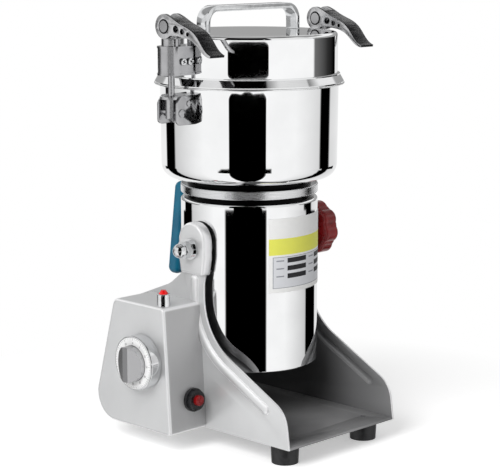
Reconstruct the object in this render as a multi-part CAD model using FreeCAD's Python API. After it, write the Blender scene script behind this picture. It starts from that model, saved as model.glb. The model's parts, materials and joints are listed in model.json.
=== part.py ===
import FreeCAD, Part
import math
import os
from FreeCAD import Vector

# Electric grain mill with a swinging mill body, millimetres, +Z up.
# The origin is on the table, below the mill axis. The discharge tray points to -Y,
# and the control box is on the -X side.

# Fits shared by the whole mill
seat_gap = 0.02
running_fit = 0.05
screw_clearance = 0.15
body_gap = 0.3

# How far a cutter runs past the piece it cuts
past = 1.0

# Feet and tray
foot_height = 17.0
foot_radius = 12.0
foot_tip_radius = 11.2
foot_side_inset = 17.0
foot_front_inset = 20.5
foot_rear_inset = 20.0
foot_bore_radius = 2.5
foot_screw_head_radius = 5.0
foot_screw_head_height = 3.0
foot_counterbore_depth = 6.0
half_width = 65.7
front_reach = 110.5
rear_reach = 85.0
cheek_sheet = 1.8
floor_sheet = 2.0
rear_wall_height = 40.0

# Cheeks, which carry the pivot
pivot_height = 169.7
lip_lean = 4.4
lip_corner_radius = 24.0
slope_degrees = 27.5
sweep_radius = 54.0
throat_reach = 11.3
throat_drop = 40.0
throat_corner_drop = 29.0
throat_corner_radius = 12.0
ear_half_width = 16.0
ear_rise = 22.3
ear_drop = 22.0
ear_waist_drop = 8.0
ear_waist_radius = 19.0
ear_taper = 2.5
ear_foot_radius = 3.0
ear_outset = 3.8
ear_flange_depth = 9.0
ear_edge_radius = 3.0
ear_rear_taper = 1.5
ear_rear_radius = 9.0
rear_shoulder_reach = 30.0
rear_shoulder_drop = 34.0
rear_shoulder_radius = 24.0
rear_edge_height = 114.0
rear_corner_radius = 5.0
rib_bead_radius = 6.0
rib_stand = 2.4
rib_edge_inset = 11.0
rib_front_margin = 27.0
rib_top_drop = 27.0

# Pivot hardware
stud_radius = 4.0
boss_radius = 8.5
stud_head_depth = 4.0
stud_tip_length = 1.5
stud_end_gap = 1.0
bush_radius = 6.0
bush_flange_radius = 10.0
bush_flange_thickness = 1.6
washer_radius = 8.8
washer_thickness = 1.6
lock_washer_radius = 7.0
lock_washer_thickness = 2.2
nut_flats = 13.0
nut_height = 6.0
dome_radius = 6.2
dome_skirt = 2.0
lock_knob_core_radius = 22.5
lock_knob_lobe_radius = 9.0
lock_knob_lobes = 8
lock_knob_thickness = 15.5
lock_knob_hub_radius = 12.0
lock_knob_hub_length = 2.5
lock_knob_edge = 3.0
lock_knob_lobe_sink = 7.2
lock_knob_first_lobe = 0.25
lock_knob_floor = 5.0

# Control box
box_depth = 41.1
box_wall = 1.5
box_front_bottom = 14.0
box_front_top = 6.3
box_top_height = 108.0
box_back_top = 57.0
box_back_bottom = 86.9
box_front_radius = 4.0
box_back_top_radius = 7.0
box_back_bottom_radius = 22.0
box_edge_radius = 2.5

# Timer and its knob
timer_y = 19.5
timer_rise = 59.5
timer_radius = 20.0
timer_depth = 24.0
timer_bush_radius = 5.2
timer_bush_length = 2.4
timer_shaft_radius = 3.0
timer_shaft_grip = 11.0
knob_radius = 23.3
knob_skirt_depth = 10.7
knob_wall = 1.8
knob_face_thickness = 5.5
knob_lift = 0.5
knob_edge = 1.2
knob_shaft_root = 1.0
dial_grip_radius = 15.0
dial_grip_height = 9.0
dial_ridge_half_width = 3.0
dial_grip_edge_height = 3.0

# Circuit breaker on the front of the box
breaker_inset = 14.3
breaker_rise = 27.0
breaker_neck_radius = 8.5
breaker_bezel_radius = 10.0
breaker_bezel_depth = 3.0
breaker_collar_depth = 3.5
breaker_body_radius = 12.0
breaker_body_depth = 24.0
breaker_button_radius = 4.5
breaker_button_stand = 3.4
breaker_button_depth = 12.0
breaker_travel = 2.5
breaker_button_edge = 0.8

# Indicator lamp on top of the box
indicator_inset = 8.8
indicator_y = 3.0
indicator_radius = 5.75
indicator_height = 10.5
indicator_tail_radius = 4.6
indicator_tail_length = 12.0
indicator_lens_radius = 4.1
indicator_lens_stand = 3.0
indicator_lens_depth = 8.0
indicator_edge = 0.9

# Cord inlet at the back of the box
gland_inset = 20.0
gland_rise = 43.0
gland_bore_radius = 3.6
gland_thread_radius = 6.0
gland_flange_radius = 9.0
gland_flange_thickness = 3.0
gland_nose_radius = 5.6
gland_nose_step = 1.5
gland_nose_length = 11.0
gland_tail_length = 7.0

# Motor housing and neck
housing_radius = 58.9
housing_wall = 1.5
housing_drop = 104.7
housing_rise = 38.3
housing_rim = 2.5
housing_foot_edge = 0.9
housing_mouth_radius = 50.0
base_plate_inset = 1.5
base_plate_thickness = 2.0
base_plate_slots = 16
base_slot_near = 24.0
base_slot_far = 48.0
base_slot_width = 3.2
groove_radius = 55.5
groove_height = 4.0
band_radius = 59.0
band_height = 7.4
shoulder_radius = 53.0
shoulder_height = 5.6
collar_bore_radius = 20.0
band_edge = 0.8

# Motor inside the housing
shaft_radius = 5.0
bearing_radius = 13.0
bearing_width = 9.0
bracket_thickness = 4.0
bracket_hub_radius = 17.0
bracket_shaft_gap = 3.0
bracket_window_radius = 10.0
bracket_window_centre = 38.0
bracket_windows = 4
lower_bracket_rise = 9.5
upper_bracket_drop = 17.0
upper_bearing_lift = 1.0
stator_yoke = 12.0
pole_half_width = 18.0
pole_inner_radius = 31.0
pole_root = 4.0
pole_face_depth = 8.0
coil_thickness = 6.0
coil_depth = 11.0
coil_tip_gap = 2.5
coil_armature_gap = 1.5
armature_radius = 30.0
armature_slots = 12
armature_slot_width = 3.0
armature_slot_depth = 9.0
winding_radius = 26.0
winding_height = 6.0
winding_inset = 2.0
winding_edge = 2.5
winding_bore_edge = 1.5
commutator_radius = 13.0
commutator_height = 11.0
commutator_lift = 1.0
commutator_bars = 24
commutator_slot = 0.8
commutator_slot_depth = 1.2
winding_gap = 1.9
brush_half_size = 4.0
brush_length = 20.0
brush_holder_wall = 2.0
brush_holder_length = 27.0
brush_holder_gap = 2.5
shaft_tail = 2.0
fan_radius = 45.0
fan_disc = 2.0
fan_blade_height = 9.0
fan_blade_thickness = 1.6
fan_blades = 10
fan_gap = 3.0
fan_hub_wall = 5.0
fan_blade_inset = 1.0
fan_blade_root = 0.5

# Grinding bowl
bowl_radius = 76.0
bowl_draft = 1.0
bowl_wall = 1.5
bowl_corner = 12.0
bowl_height = 79.5
bowl_hole_radius = 12.0
flange_radius = 81.0
flange_thickness = 1.5
flange_edge = 0.675
seal_flange_radius = 15.0
seal_flange_height = 3.5
seal_drop = 3.0
seal_edge = 1.0

# Blades
blade_thickness = 2.5
blade_half_width = 9.0
lower_blade_reach = 62.0
lower_blade_flat = 44.0
lower_blade_lift = 8.0
upper_blade_reach = 54.0
upper_blade_flat = 36.0
upper_blade_lift = 7.0
blade_spacing = 15.5
spacer_radius = 8.0
spacer_base = 3.7
blade_bend_radius = 4.0
blade_nut_flats = 17.0
blade_nut_height = 9.5
blade_nut_cap = 3.0
blade_nut_foot_radius = 11.9
blade_nut_top_radius = 6.0

# Lid
rim_height = 7.5
rim_bottom_radius = 80.4
rim_top_radius = 77.2
rim_bore_radius = 72.5
rim_edge_height = 0.9
gasket_wall = 2.0
gasket_lip_radius = 74.0
gasket_lip_height = 3.5
lid_radius = 75.0
lid_wall = 1.5
lid_height = 34.7
lid_edge = 3.0
handle_rise = 23.0
handle_half_span = 56.0
handle_half_width = 6.0
handle_thickness = 5.0
handle_corner = 14.0

# Latches, one on each side of the bowl
latch_reach = 90.0
latch_pivot_rise = 61.0
latch_pin_radius = 2.0
latch_pin_head_radius = 3.3
latch_pin_head_height = 1.2
keeper_half_width = 12.0
keeper_sheet = 2.0
keeper_bottom_drop = 10.0
keeper_top_rise = 14.0
keeper_outer_reach = 95.0
keeper_web_depth = 3.0
keeper_corner = 4.0
keeper_root = 3.0
keeper_slant_drop = 6.0
keeper_slant_setback = 5.0
rivet_head_edge = 1.0
rivet_setback = 8.0
rivet_rise = 7.5
rivet_radius = 1.6
barrel_radius = 5.0
barrel_drop = 5.0
barrel_rise = 11.0
disc_radius = 9.6
disc_thickness = 2.0
rod_radius = 2.7
shoe_rise = 30.5
shoe_height = 23.5
shoe_radius = 11.0
shoe_sheet = 2.0
shoe_lid_gap = 0.7
shoe_bead = 0.5
shoe_bead_height = 1.6
shoe_mouth_depth = 4.0
shoe_mouth_reach = 1.0
collar_radius = 7.8
collar_height = 5.7
eye_rise = 70.0
eye_radius = 10.0
eye_pin_radius = 4.7
eye_pin_stand = 0.4
lever_half_width = 8.0
lever_slot_half_width = 5.0
lever_web = 2.2
lever_eye_gap = 1.5
lever_tip_wall = 9.0
lever_hole_radii = (2.9, 2.3, 1.7)
lever_hole_reach = (14.0, 21.5, 28.0)
lever_hole_drop = (1.7, 3.4, 5.2)

# Reach and rise from the eye, along the top of the lever and back along its underside
lever_top = ((8.0, 7.6), (15.0, 4.2), (25.0, 0.4), (34.0, -3.6), (41.0, -10.0), (47.0, -17.0), (54.0, -21.2))
lever_under = ((53.6, -23.0), (46.0, -20.2), (39.0, -14.2), (31.0, -9.6), (20.0, -7.6), (9.0, -7.2))

# Swing handle behind the motor housing
strap_half_width = 8.0
strap_sheet = 2.5
strap_top_rise = 24.8
strap_height = 44.5
strap_foot_length = 12.0
strap_reach_top = 76.3
strap_reach_bottom = 80.8
grip_half_width = 9.0
grip_thickness = 12.5
grip_over_top = 17.5
grip_over_bottom = 23.0
grip_corner = 6.0
grip_edge = 5.5
strap_screw_radius = 2.0
strap_screw_head_radius = 4.0
strap_screw_head_height = 2.2
grip_screw_spacing = 20.0
grip_screw_bite = 7.0
grip_screw_room = 1.0
grip_bottom_swell = 2.0
strap_bend_radius = 3.0
strap_bend_inside = 0.8
strap_overlap = 5.0
screw_head_round = 1.3

# Rating plate on the motor housing
plate_start_degrees = -119.0
plate_end_degrees = -40.0
plate_drop = 9.5
plate_height = 63.0
plate_gauge = 0.35

# Heights worked out from the sizes above
floor_top = foot_height + floor_sheet
housing_bottom = pivot_height - housing_drop
housing_top = pivot_height + housing_rise
bowl_bottom = housing_top + groove_height + band_height + shoulder_height
bowl_top = bowl_bottom + bowl_height
flange_top = bowl_top + flange_thickness
rim_top = flange_top + rim_height
lid_top = rim_top + lid_height
box_top = foot_height + box_top_height
box_face = -half_width - box_depth
timer_z = foot_height + timer_rise
latch_pivot_z = bowl_bottom + latch_pivot_rise
shoe_bottom = latch_pivot_z + shoe_rise
shoe_top = shoe_bottom + shoe_height
eye_z = latch_pivot_z + eye_rise
housing_bore = housing_radius - housing_wall
lower_bearing_bottom = housing_bottom + base_plate_inset + base_plate_thickness + lower_bracket_rise
lower_bearing_top = lower_bearing_bottom + bearing_width
lower_bracket_top = lower_bearing_top + bracket_thickness
commutator_bottom = lower_bracket_top + commutator_lift
commutator_top = commutator_bottom + commutator_height
stack_bottom = commutator_top + winding_gap + winding_height
stack_top = pivot_height - boss_radius - body_gap
upper_bracket_bottom = housing_top - upper_bracket_drop
upper_bearing_bottom = upper_bracket_bottom + bracket_thickness + upper_bearing_lift
seal_top = bowl_bottom + bowl_wall + seal_flange_height
lower_blade_z = seal_top + body_gap + spacer_base
upper_blade_z = lower_blade_z + blade_thickness + blade_spacing
blade_nut_z = upper_blade_z + blade_thickness
ear_face = half_width + ear_outset
box_lean = math.atan2(box_front_bottom - box_front_top, box_top_height)

os.makedirs("parts", exist_ok=True)


def corner_arc(before, here, after, radius):
    """Start, middle and end of the tangent arc that rounds a corner."""
    back = (before - here).normalize()
    ahead = (after - here).normalize()
    half_angle = back.getAngle(ahead) / 2
    bisector = (back + ahead).normalize()
    tangent = radius / math.tan(half_angle)
    centre = here + bisector * (radius / math.sin(half_angle))
    return here + back * tangent, centre - bisector * radius, here + ahead * tangent


def rounded_wire(corners, place):
    """Closed outline through corners (a, b, radius), with a tangent arc at each rounded one."""
    count = len(corners)
    entries = []
    exits = []
    arcs = []
    for i in range(count):
        before = Vector(corners[i - 1][0], corners[i - 1][1], 0)
        here = Vector(corners[i][0], corners[i][1], 0)
        after = Vector(corners[(i + 1) % count][0], corners[(i + 1) % count][1], 0)
        radius = corners[i][2] if len(corners[i]) > 2 else 0.0
        start, middle, end = here, None, here
        if radius > 0:
            start, middle, end = corner_arc(before, here, after, radius)
        entries.append(start)
        arcs.append(middle)
        exits.append(end)
    edges = []
    for i in range(count):
        start = exits[i - 1]
        if (entries[i] - start).Length > 1e-6:
            edges.append(Part.makeLine(place(start), place(entries[i])))
        if arcs[i] is not None:
            edges.append(Part.Arc(place(entries[i]), place(arcs[i]), place(exits[i])).toShape())
    return Part.Wire(edges)


def plate_x(corners, low, high):
    """Outline in (y, z), between two X planes."""
    wire = rounded_wire(corners, lambda p: Vector(low, p.x, p.y))
    return Part.Face(wire).extrude(Vector(high - low, 0, 0))


def plate_y(corners, low, high):
    """Outline in (x, z), between two Y planes."""
    wire = rounded_wire(corners, lambda p: Vector(p.x, low, p.y))
    return Part.Face(wire).extrude(Vector(0, high - low, 0))


def plate_z(corners, low, high):
    """Outline in (x, y), between two Z planes."""
    wire = rounded_wire(corners, lambda p: Vector(p.x, p.y, low))
    return Part.Face(wire).extrude(Vector(0, 0, high - low))


def turned(corners):
    """Outline in (radius, z), turned about the mill axis."""
    wire = rounded_wire(corners, lambda p: Vector(p.x, 0, p.y))
    return Part.Face(wire).revolve(Vector(0, 0, 0), Vector(0, 0, 1), 360)


def block(x0, x1, y0, y1, z0, z1):
    return Part.makeBox(x1 - x0, y1 - y0, z1 - z0, Vector(x0, y0, z0))


def bar(radius, start, end):
    """Round bar from one point to another."""
    along = end - start
    return Part.makeCylinder(radius, along.Length, start, along)


def upright(radius, low, high, x=0.0, y=0.0):
    return bar(radius, Vector(x, y, low), Vector(x, y, high))


def crosswise(radius, low, high, y=0.0, z=0.0):
    """Round bar along X."""
    return bar(radius, Vector(low, y, z), Vector(high, y, z))


def hexagon_x(flats, low, high, z):
    """Hexagonal bar along X on the pivot line."""
    reach = flats / math.sqrt(3)
    corners = []
    for i in range(6):
        angle = math.radians(60 * i)
        corners.append((reach * math.cos(angle), z + reach * math.sin(angle)))
    return plate_x(corners, low, high)


def hexagon_z(flats, low, high):
    reach = flats / math.sqrt(3)
    corners = []
    for i in range(6):
        angle = math.radians(60 * i)
        corners.append((reach * math.cos(angle), reach * math.sin(angle)))
    return plate_z(corners, low, high)


def edges_at_x(shape, x):
    """Edges that lie wholly in one X plane."""
    found = []
    for edge in shape.Edges:
        box = edge.BoundBox
        if abs(box.XMin - x) < 1e-4 and abs(box.XMax - x) < 1e-4:
            found.append(edge)
    return found


def mirrored(shape):
    """The same piece on the other side of the mill."""
    return shape.mirror(Vector(0, 0, 0), Vector(1, 0, 0))


def around_z(shape, degrees):
    copy = shape.copy()
    copy.rotate(Vector(0, 0, 0), Vector(0, 0, 1), degrees)
    return copy


def save(name, *solids):
    """One file for each named piece, with its solids side by side."""
    single = []
    for shape in solids:
        single.extend(shape.Solids)
    for solid in single:
        if not solid.isValid():
            print("not valid:", name)
    shape = single[0] if len(single) == 1 else Part.makeCompound(single)
    shape.exportStep("parts/" + name + ".step")
    print(name, len(single), round(sum(s.Volume for s in single) / 1000, 2), "cm3")


# Feet, tray and rear wall

def foot_places():
    side = half_width - foot_side_inset
    front = -(front_reach - foot_front_inset)
    rear = rear_reach - foot_rear_inset
    return {
        "foot_front_left": (-side, front),
        "foot_front_right": (side, front),
        "foot_rear_left": (-side, rear),
        "foot_rear_right": (side, rear),
    }


def foot(x, y):
    shape = Part.makeCone(foot_tip_radius, foot_radius, foot_height, Vector(x, y, 0))
    shape = shape.cut(upright(foot_bore_radius, -past, foot_height + past, x, y))
    recess = foot_screw_head_radius + body_gap
    return shape.cut(upright(recess, -past, foot_counterbore_depth, x, y))


def foot_screw(x, y):
    head = upright(
        foot_screw_head_radius,
        foot_counterbore_depth - foot_screw_head_height,
        foot_counterbore_depth,
        x,
        y,
    )
    shank = upright(foot_bore_radius - seat_gap, foot_counterbore_depth, floor_top, x, y)
    return head.fuse(shank).removeSplitter()


def tray_floor():
    inside = half_width - cheek_sheet
    shape = block(-inside, inside, -front_reach, rear_reach, foot_height, floor_top)
    for x, y in foot_places().values():
        shape = shape.cut(upright(foot_bore_radius, 0, floor_top + past, x, y))
    return shape


def rear_wall():
    inside = half_width - cheek_sheet
    return block(
        -inside, inside, rear_reach - floor_sheet, rear_reach, floor_top, floor_top + rear_wall_height
    )


# Cheeks

def slope_height(reach):
    """Height of the sloping front edge at a distance in front of the axis."""
    slope = math.tan(math.radians(slope_degrees))
    bend = math.radians(90 - slope_degrees) / 2
    throat_z = pivot_height - throat_drop
    corner_z = throat_z - sweep_radius * math.tan(bend)
    return corner_z - (reach - throat_reach) * slope


def cheek_corners():
    lip_y = front_reach - lip_lean
    ear_top = pivot_height + ear_rise
    ear_round = ear_half_width - seat_gap
    return [
        (-front_reach, foot_height),
        (-lip_y, slope_height(lip_y), lip_corner_radius),
        (-throat_reach, slope_height(throat_reach), sweep_radius),
        (-throat_reach, pivot_height - throat_corner_drop, throat_corner_radius),
        (-ear_half_width, pivot_height - ear_waist_drop, ear_waist_radius),
        (-ear_half_width, ear_top, ear_round),
        (ear_half_width, ear_top, ear_round),
        (ear_half_width - ear_rear_taper, pivot_height - ear_drop, ear_rear_radius),
        (rear_shoulder_reach, pivot_height - rear_shoulder_drop, rear_shoulder_radius),
        (rear_reach, rear_edge_height, rear_corner_radius),
        (rear_reach, foot_height),
    ]


def ear_corners(inset):
    """Outline of the pressed ear, which stands out of the cheek."""
    half = ear_half_width - inset
    low_half = half - ear_taper
    top = pivot_height + ear_rise - inset
    waist = pivot_height - ear_waist_drop
    foot = pivot_height - ear_drop + inset
    return [
        (-low_half, foot, ear_foot_radius),
        (-half, waist, ear_waist_radius),
        (-half, top, half - seat_gap),
        (half, top, half - seat_gap),
        (half, waist, ear_waist_radius),
        (low_half, foot, ear_foot_radius),
    ]


def rib_bead(radius):
    """Round bead that keeps one distance inside the front edge of the cheek, from ear to tray."""
    x = -half_width + rib_bead_radius - rib_stand
    slope = math.radians(slope_degrees)
    drop = rib_edge_inset / math.cos(slope)
    line_y = -throat_reach + rib_edge_inset
    front = front_reach - rib_front_margin
    top = Vector(x, line_y, pivot_height - rib_top_drop)
    bend = Vector(x, line_y, slope_height(-line_y) - drop)
    tail = Vector(x, -front, slope_height(front) - drop)
    start, middle, end = corner_arc(top, bend, tail, sweep_radius + rib_edge_inset)
    path = Part.Wire(
        [Part.makeLine(top, start), Part.Arc(start, middle, end).toShape(), Part.makeLine(end, tail)]
    )
    section = Part.Face(Part.Wire(Part.makeCircle(radius, top, Vector(0, 0, 1))))
    shape = path.makePipe(section)
    for point in (top, tail):
        shape = shape.fuse(Part.makeSphere(radius, point))
    return shape


def cheek():
    """Left cheek, at -X; the right one is its mirror image."""
    outer = -half_width
    inner = -half_width + cheek_sheet
    shape = plate_x(cheek_corners(), outer, inner)
    shape = shape.cut(plate_x(ear_corners(cheek_sheet), outer - past, inner + past))
    pan = plate_x(ear_corners(0), -ear_face, -ear_face + ear_flange_depth)
    pan = pan.makeFillet(ear_edge_radius, edges_at_x(pan, -ear_face))
    hollow = plate_x(
        ear_corners(cheek_sheet), -ear_face + cheek_sheet, -ear_face + ear_flange_depth + past
    )
    shape = shape.fuse(pan.cut(hollow))
    outside = block(outer - rib_bead_radius, outer, -front_reach, rear_reach, 0, pivot_height)
    shape = shape.fuse(rib_bead(rib_bead_radius).common(outside))
    shape = shape.cut(rib_bead(rib_bead_radius - cheek_sheet))
    hole = crosswise(bush_radius, -ear_face - past, inner + past, 0, pivot_height)
    return shape.cut(hole).removeSplitter()


# Pivot

def pivot_bush():
    """Nylon bush in the left ear."""
    inner_end = -ear_face + cheek_sheet + bush_flange_thickness
    sleeve = crosswise(bush_radius - seat_gap, -ear_face, inner_end, 0, pivot_height)
    flange = crosswise(
        bush_flange_radius, -ear_face + cheek_sheet, inner_end, 0, pivot_height
    )
    bore = crosswise(stud_radius + running_fit, -ear_face - past, inner_end + past, 0, pivot_height)
    return sleeve.fuse(flange).cut(bore).removeSplitter()


def pivot_stud(outer_end):
    """Left stud, clamped in the housing wall; its boss spaces the mill from the bush."""
    boss_end = -ear_face + cheek_sheet + bush_flange_thickness + body_gap
    head_end = -housing_bore + stud_head_depth
    inside = upright(housing_bore - seat_gap, housing_bottom, housing_top)
    outside = upright(housing_radius + seat_gap, housing_bottom, housing_top)
    head = crosswise(boss_radius, -housing_bore, head_end, 0, pivot_height)
    boss = crosswise(boss_radius, boss_end, head_end, 0, pivot_height)
    shank = crosswise(stud_radius, outer_end, head_end, 0, pivot_height)
    return shank.fuse(boss.cut(outside)).fuse(head.common(inside)).removeSplitter()


def flat_washer():
    start = -ear_face - body_gap
    disc = crosswise(washer_radius, start - washer_thickness, start, 0, pivot_height)
    hole = crosswise(stud_radius + seat_gap, start - washer_thickness - past, start + past, 0, pivot_height)
    return disc.cut(hole)


def lock_washer():
    start = -ear_face - body_gap - washer_thickness
    end = start - lock_washer_thickness
    disc = crosswise(lock_washer_radius, end, start, 0, pivot_height)
    hole = crosswise(stud_radius + seat_gap, end - past, start + past, 0, pivot_height)
    return disc.cut(hole)


def nut_start():
    return -ear_face - body_gap - washer_thickness - lock_washer_thickness


def acorn_nut():
    start = nut_start()
    end = start - nut_height
    body = hexagon_x(nut_flats, end, start, pivot_height)
    dome_start = end - dome_skirt
    skirt = crosswise(dome_radius, dome_start, end, 0, pivot_height)
    dome = Part.makeSphere(dome_radius, Vector(dome_start, 0, pivot_height))
    tip = crosswise(dome_radius + past, dome_start - dome_radius - past, dome_start, 0, pivot_height)
    shape = body.fuse(skirt).fuse(dome.common(tip))
    hole = crosswise(stud_radius + seat_gap, dome_start, start + past, 0, pivot_height)
    return shape.cut(hole).removeSplitter()


def lock_knob():
    start = ear_face + body_gap + washer_thickness + body_gap
    face = start + lock_knob_hub_length
    end = face + lock_knob_thickness
    core = crosswise(lock_knob_core_radius, face, end, 0, pivot_height)
    lobe_reach = lock_knob_core_radius - lock_knob_lobe_sink
    for i in range(lock_knob_lobes):
        angle = 2 * math.pi * (i + lock_knob_first_lobe) / lock_knob_lobes
        y = lobe_reach * math.cos(angle)
        z = pivot_height + lobe_reach * math.sin(angle)
        core = core.fuse(crosswise(lock_knob_lobe_radius, face, end, y, z))
    core = core.removeSplitter()
    rims = edges_at_x(core, face) + edges_at_x(core, end)
    core = core.makeFillet(lock_knob_edge, rims)
    hub = crosswise(lock_knob_hub_radius, start, face, 0, pivot_height)
    bore = crosswise(stud_radius + running_fit, start - past, end - lock_knob_floor, 0, pivot_height)
    return core.fuse(hub).cut(bore).removeSplitter()


# Control box and what it holds

def box_corners():
    return [
        (-box_front_bottom, foot_height, box_front_radius),
        (-box_front_top, box_top, box_front_radius),
        (box_back_top, box_top, box_back_top_radius),
        (box_back_bottom, foot_height, box_back_bottom_radius),
    ]


def box_outline(x):
    return Part.Face(rounded_wire(box_corners(), lambda p: Vector(x, p.x, p.y)))


def breaker_frame():
    """Centre of the breaker on the box front, and the way its button is pressed."""
    share = breaker_rise / box_top_height
    y = -box_front_bottom + share * (box_front_bottom - box_front_top)
    inward = Vector(0, math.cos(box_lean), -math.sin(box_lean))
    return Vector(box_face + box_depth - breaker_inset, y, foot_height + breaker_rise), inward


def gland_frame():
    """Centre of the cord inlet on the box back, and the way out of it."""
    share = gland_rise / box_top_height
    y = box_back_bottom + share * (box_back_top - box_back_bottom)
    back_lean = math.atan2(box_back_bottom - box_back_top, box_top_height)
    outward = Vector(0, math.cos(back_lean), math.sin(back_lean))
    return Vector(-half_width - gland_inset, y, foot_height + gland_rise), outward


def control_box():
    shape = box_outline(box_face).extrude(Vector(box_depth, 0, 0))
    shape = shape.makeFillet(box_edge_radius, edges_at_x(shape, box_face))
    inside = box_outline(box_face + box_wall).makeOffset2D(-box_wall)
    shape = shape.cut(inside.extrude(Vector(box_depth, 0, 0)))
    shape = shape.cut(
        crosswise(
            timer_bush_radius + seat_gap, box_face - past, box_face + box_wall + past, timer_y, timer_z
        )
    )
    centre, inward = breaker_frame()
    reach = box_wall + past
    shape = shape.cut(
        bar(breaker_neck_radius + seat_gap, centre - inward * reach, centre + inward * reach)
    )
    lamp_x = box_face + indicator_inset
    tail_hole = indicator_tail_radius + seat_gap
    shape = shape.cut(upright(tail_hole, box_top - reach, box_top + reach, lamp_x, indicator_y))
    hole, outward = gland_frame()
    gland_hole = gland_thread_radius + seat_gap
    shape = shape.cut(bar(gland_hole, hole - outward * reach, hole + outward * reach))
    shape = shape.cut(rib_bead(rib_bead_radius + body_gap))
    return shape.removeSplitter()


def timer_switch():
    back = box_face + box_wall
    body = crosswise(timer_radius, back, back + timer_depth, timer_y, timer_z)
    bush = crosswise(
        timer_bush_radius, box_face - timer_bush_length, back + past, timer_y, timer_z
    )
    bore = crosswise(
        timer_shaft_radius + running_fit,
        box_face - timer_bush_length - past,
        back + timer_shaft_grip + past,
        timer_y,
        timer_z,
    )
    return body.fuse(bush).cut(bore).removeSplitter()


def timer_knob():
    near = box_face - knob_lift
    face = near - knob_skirt_depth
    shape = crosswise(knob_radius, face, near, timer_y, timer_z)
    shape = shape.makeFillet(knob_edge, edges_at_x(shape, face))
    under = crosswise(knob_radius - knob_wall, face + knob_face_thickness, near + past, timer_y, timer_z)
    shape = shape.cut(under)
    shaft = crosswise(
        timer_shaft_radius,
        face + knob_shaft_root,
        box_face + box_wall + timer_shaft_grip,
        timer_y,
        timer_z,
    )
    grip = crosswise(dial_grip_radius, face - dial_grip_height, face, timer_y, timer_z)
    for side in (-1, 1):
        wedge = plate_z(
            [
                (face - dial_grip_height - past, timer_y + side * dial_ridge_half_width),
                (face - dial_grip_height, timer_y + side * dial_ridge_half_width),
                (face - dial_grip_edge_height, timer_y + side * (dial_grip_radius + past)),
                (face - dial_grip_height - past, timer_y + side * (dial_grip_radius + past)),
            ],
            timer_z - dial_grip_radius - past,
            timer_z + dial_grip_radius + past,
        )
        grip = grip.cut(wedge)
    return shape.fuse(grip).fuse(shaft).removeSplitter()


def breaker_body():
    centre, inward = breaker_frame()
    front = centre - inward * (breaker_bezel_depth + breaker_collar_depth)
    bezel = bar(breaker_bezel_radius, centre - inward * breaker_bezel_depth, centre)
    collar = bar(breaker_neck_radius, front, centre + inward * (box_wall + past))
    body_start = centre + inward * (box_wall + seat_gap)
    body = bar(breaker_body_radius, body_start, body_start + inward * breaker_body_depth)
    bore = bar(
        breaker_button_radius + running_fit,
        front - inward,
        front + inward * (breaker_button_depth + breaker_travel + body_gap),
    )
    return collar.fuse(bezel).fuse(body).cut(bore).removeSplitter()


def breaker_button():
    centre, inward = breaker_frame()
    front = centre - inward * (breaker_bezel_depth + breaker_collar_depth)
    tip = front - inward * breaker_button_stand
    shape = bar(breaker_button_radius, tip, front + inward * breaker_button_depth)
    rims = []
    for edge in shape.Edges:
        if edge.CenterOfMass.distanceToPoint(tip) < 0.01:
            rims.append(edge)
    return shape.makeFillet(breaker_button_edge, rims)


def indicator_sleeve():
    x = box_face + indicator_inset
    sleeve = upright(indicator_radius, box_top, box_top + indicator_height, x, indicator_y)
    rims = []
    for edge in sleeve.Edges:
        if abs(edge.BoundBox.ZMin - box_top - indicator_height) < 1e-4:
            rims.append(edge)
    sleeve = sleeve.makeFillet(indicator_edge, rims)
    tail = upright(
        indicator_tail_radius, box_top - indicator_tail_length, box_top, x, indicator_y
    )
    bore = upright(
        indicator_lens_radius + seat_gap,
        box_top + indicator_height - indicator_lens_depth,
        box_top + indicator_height + past,
        x,
        indicator_y,
    )
    return sleeve.fuse(tail).cut(bore).removeSplitter()


def indicator_lens():
    x = box_face + indicator_inset
    low = box_top + indicator_height - indicator_lens_depth
    high = box_top + indicator_height
    barrel = upright(indicator_lens_radius, low, high, x, indicator_y)
    crown = Part.makeCone(
        indicator_lens_radius, indicator_lens_radius / 2, indicator_lens_stand, Vector(x, indicator_y, high)
    )
    return barrel.fuse(crown).removeSplitter()


def cord_gland():
    hole, outward = gland_frame()
    flange_end = hole + outward * gland_flange_thickness
    nose_end = flange_end + outward * gland_nose_length
    tail_end = hole - outward * (box_wall + gland_tail_length)
    flange = bar(gland_flange_radius, hole, flange_end)
    nose = Part.makeCone(
        gland_flange_radius - gland_nose_step, gland_nose_radius, gland_nose_length, flange_end, outward
    )
    tail = bar(gland_thread_radius, tail_end, hole)
    bore = bar(gland_bore_radius, tail_end - outward, nose_end + outward)
    return flange.fuse(nose).fuse(tail).cut(bore).removeSplitter()


# Motor housing, neck and motor

def motor_housing():
    shape = turned(
        [
            (housing_bore, housing_bottom, 0),
            (housing_radius, housing_bottom, housing_foot_edge),
            (housing_radius, housing_top, housing_rim),
            (housing_mouth_radius, housing_top, 0),
            (housing_mouth_radius, housing_top - housing_wall, 0),
            (housing_bore, housing_top - housing_wall, housing_rim - housing_wall),
        ]
    )
    for side in (-1, 1):
        near, far = sorted((side * housing_mouth_radius, side * (housing_radius + past)))
        hole = crosswise(stud_radius + seat_gap, near, far, 0, pivot_height)
        shape = shape.cut(hole)
    for z in strap_screw_heights():
        start = Vector(0, housing_mouth_radius, z)
        end = Vector(0, housing_radius + past, z)
        shape = shape.cut(bar(strap_screw_radius + screw_clearance, start, end))
    return shape


def motor_base_plate():
    low = housing_bottom + base_plate_inset
    high = low + base_plate_thickness
    shape = upright(housing_bore - seat_gap, low, high)
    for i in range(base_plate_slots):
        half = base_slot_width / 2
        slot = block(base_slot_near, base_slot_far, -half, half, low - past, high + past)
        shape = shape.cut(around_z(slot, 360.0 * i / base_plate_slots))
    return shape


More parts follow.
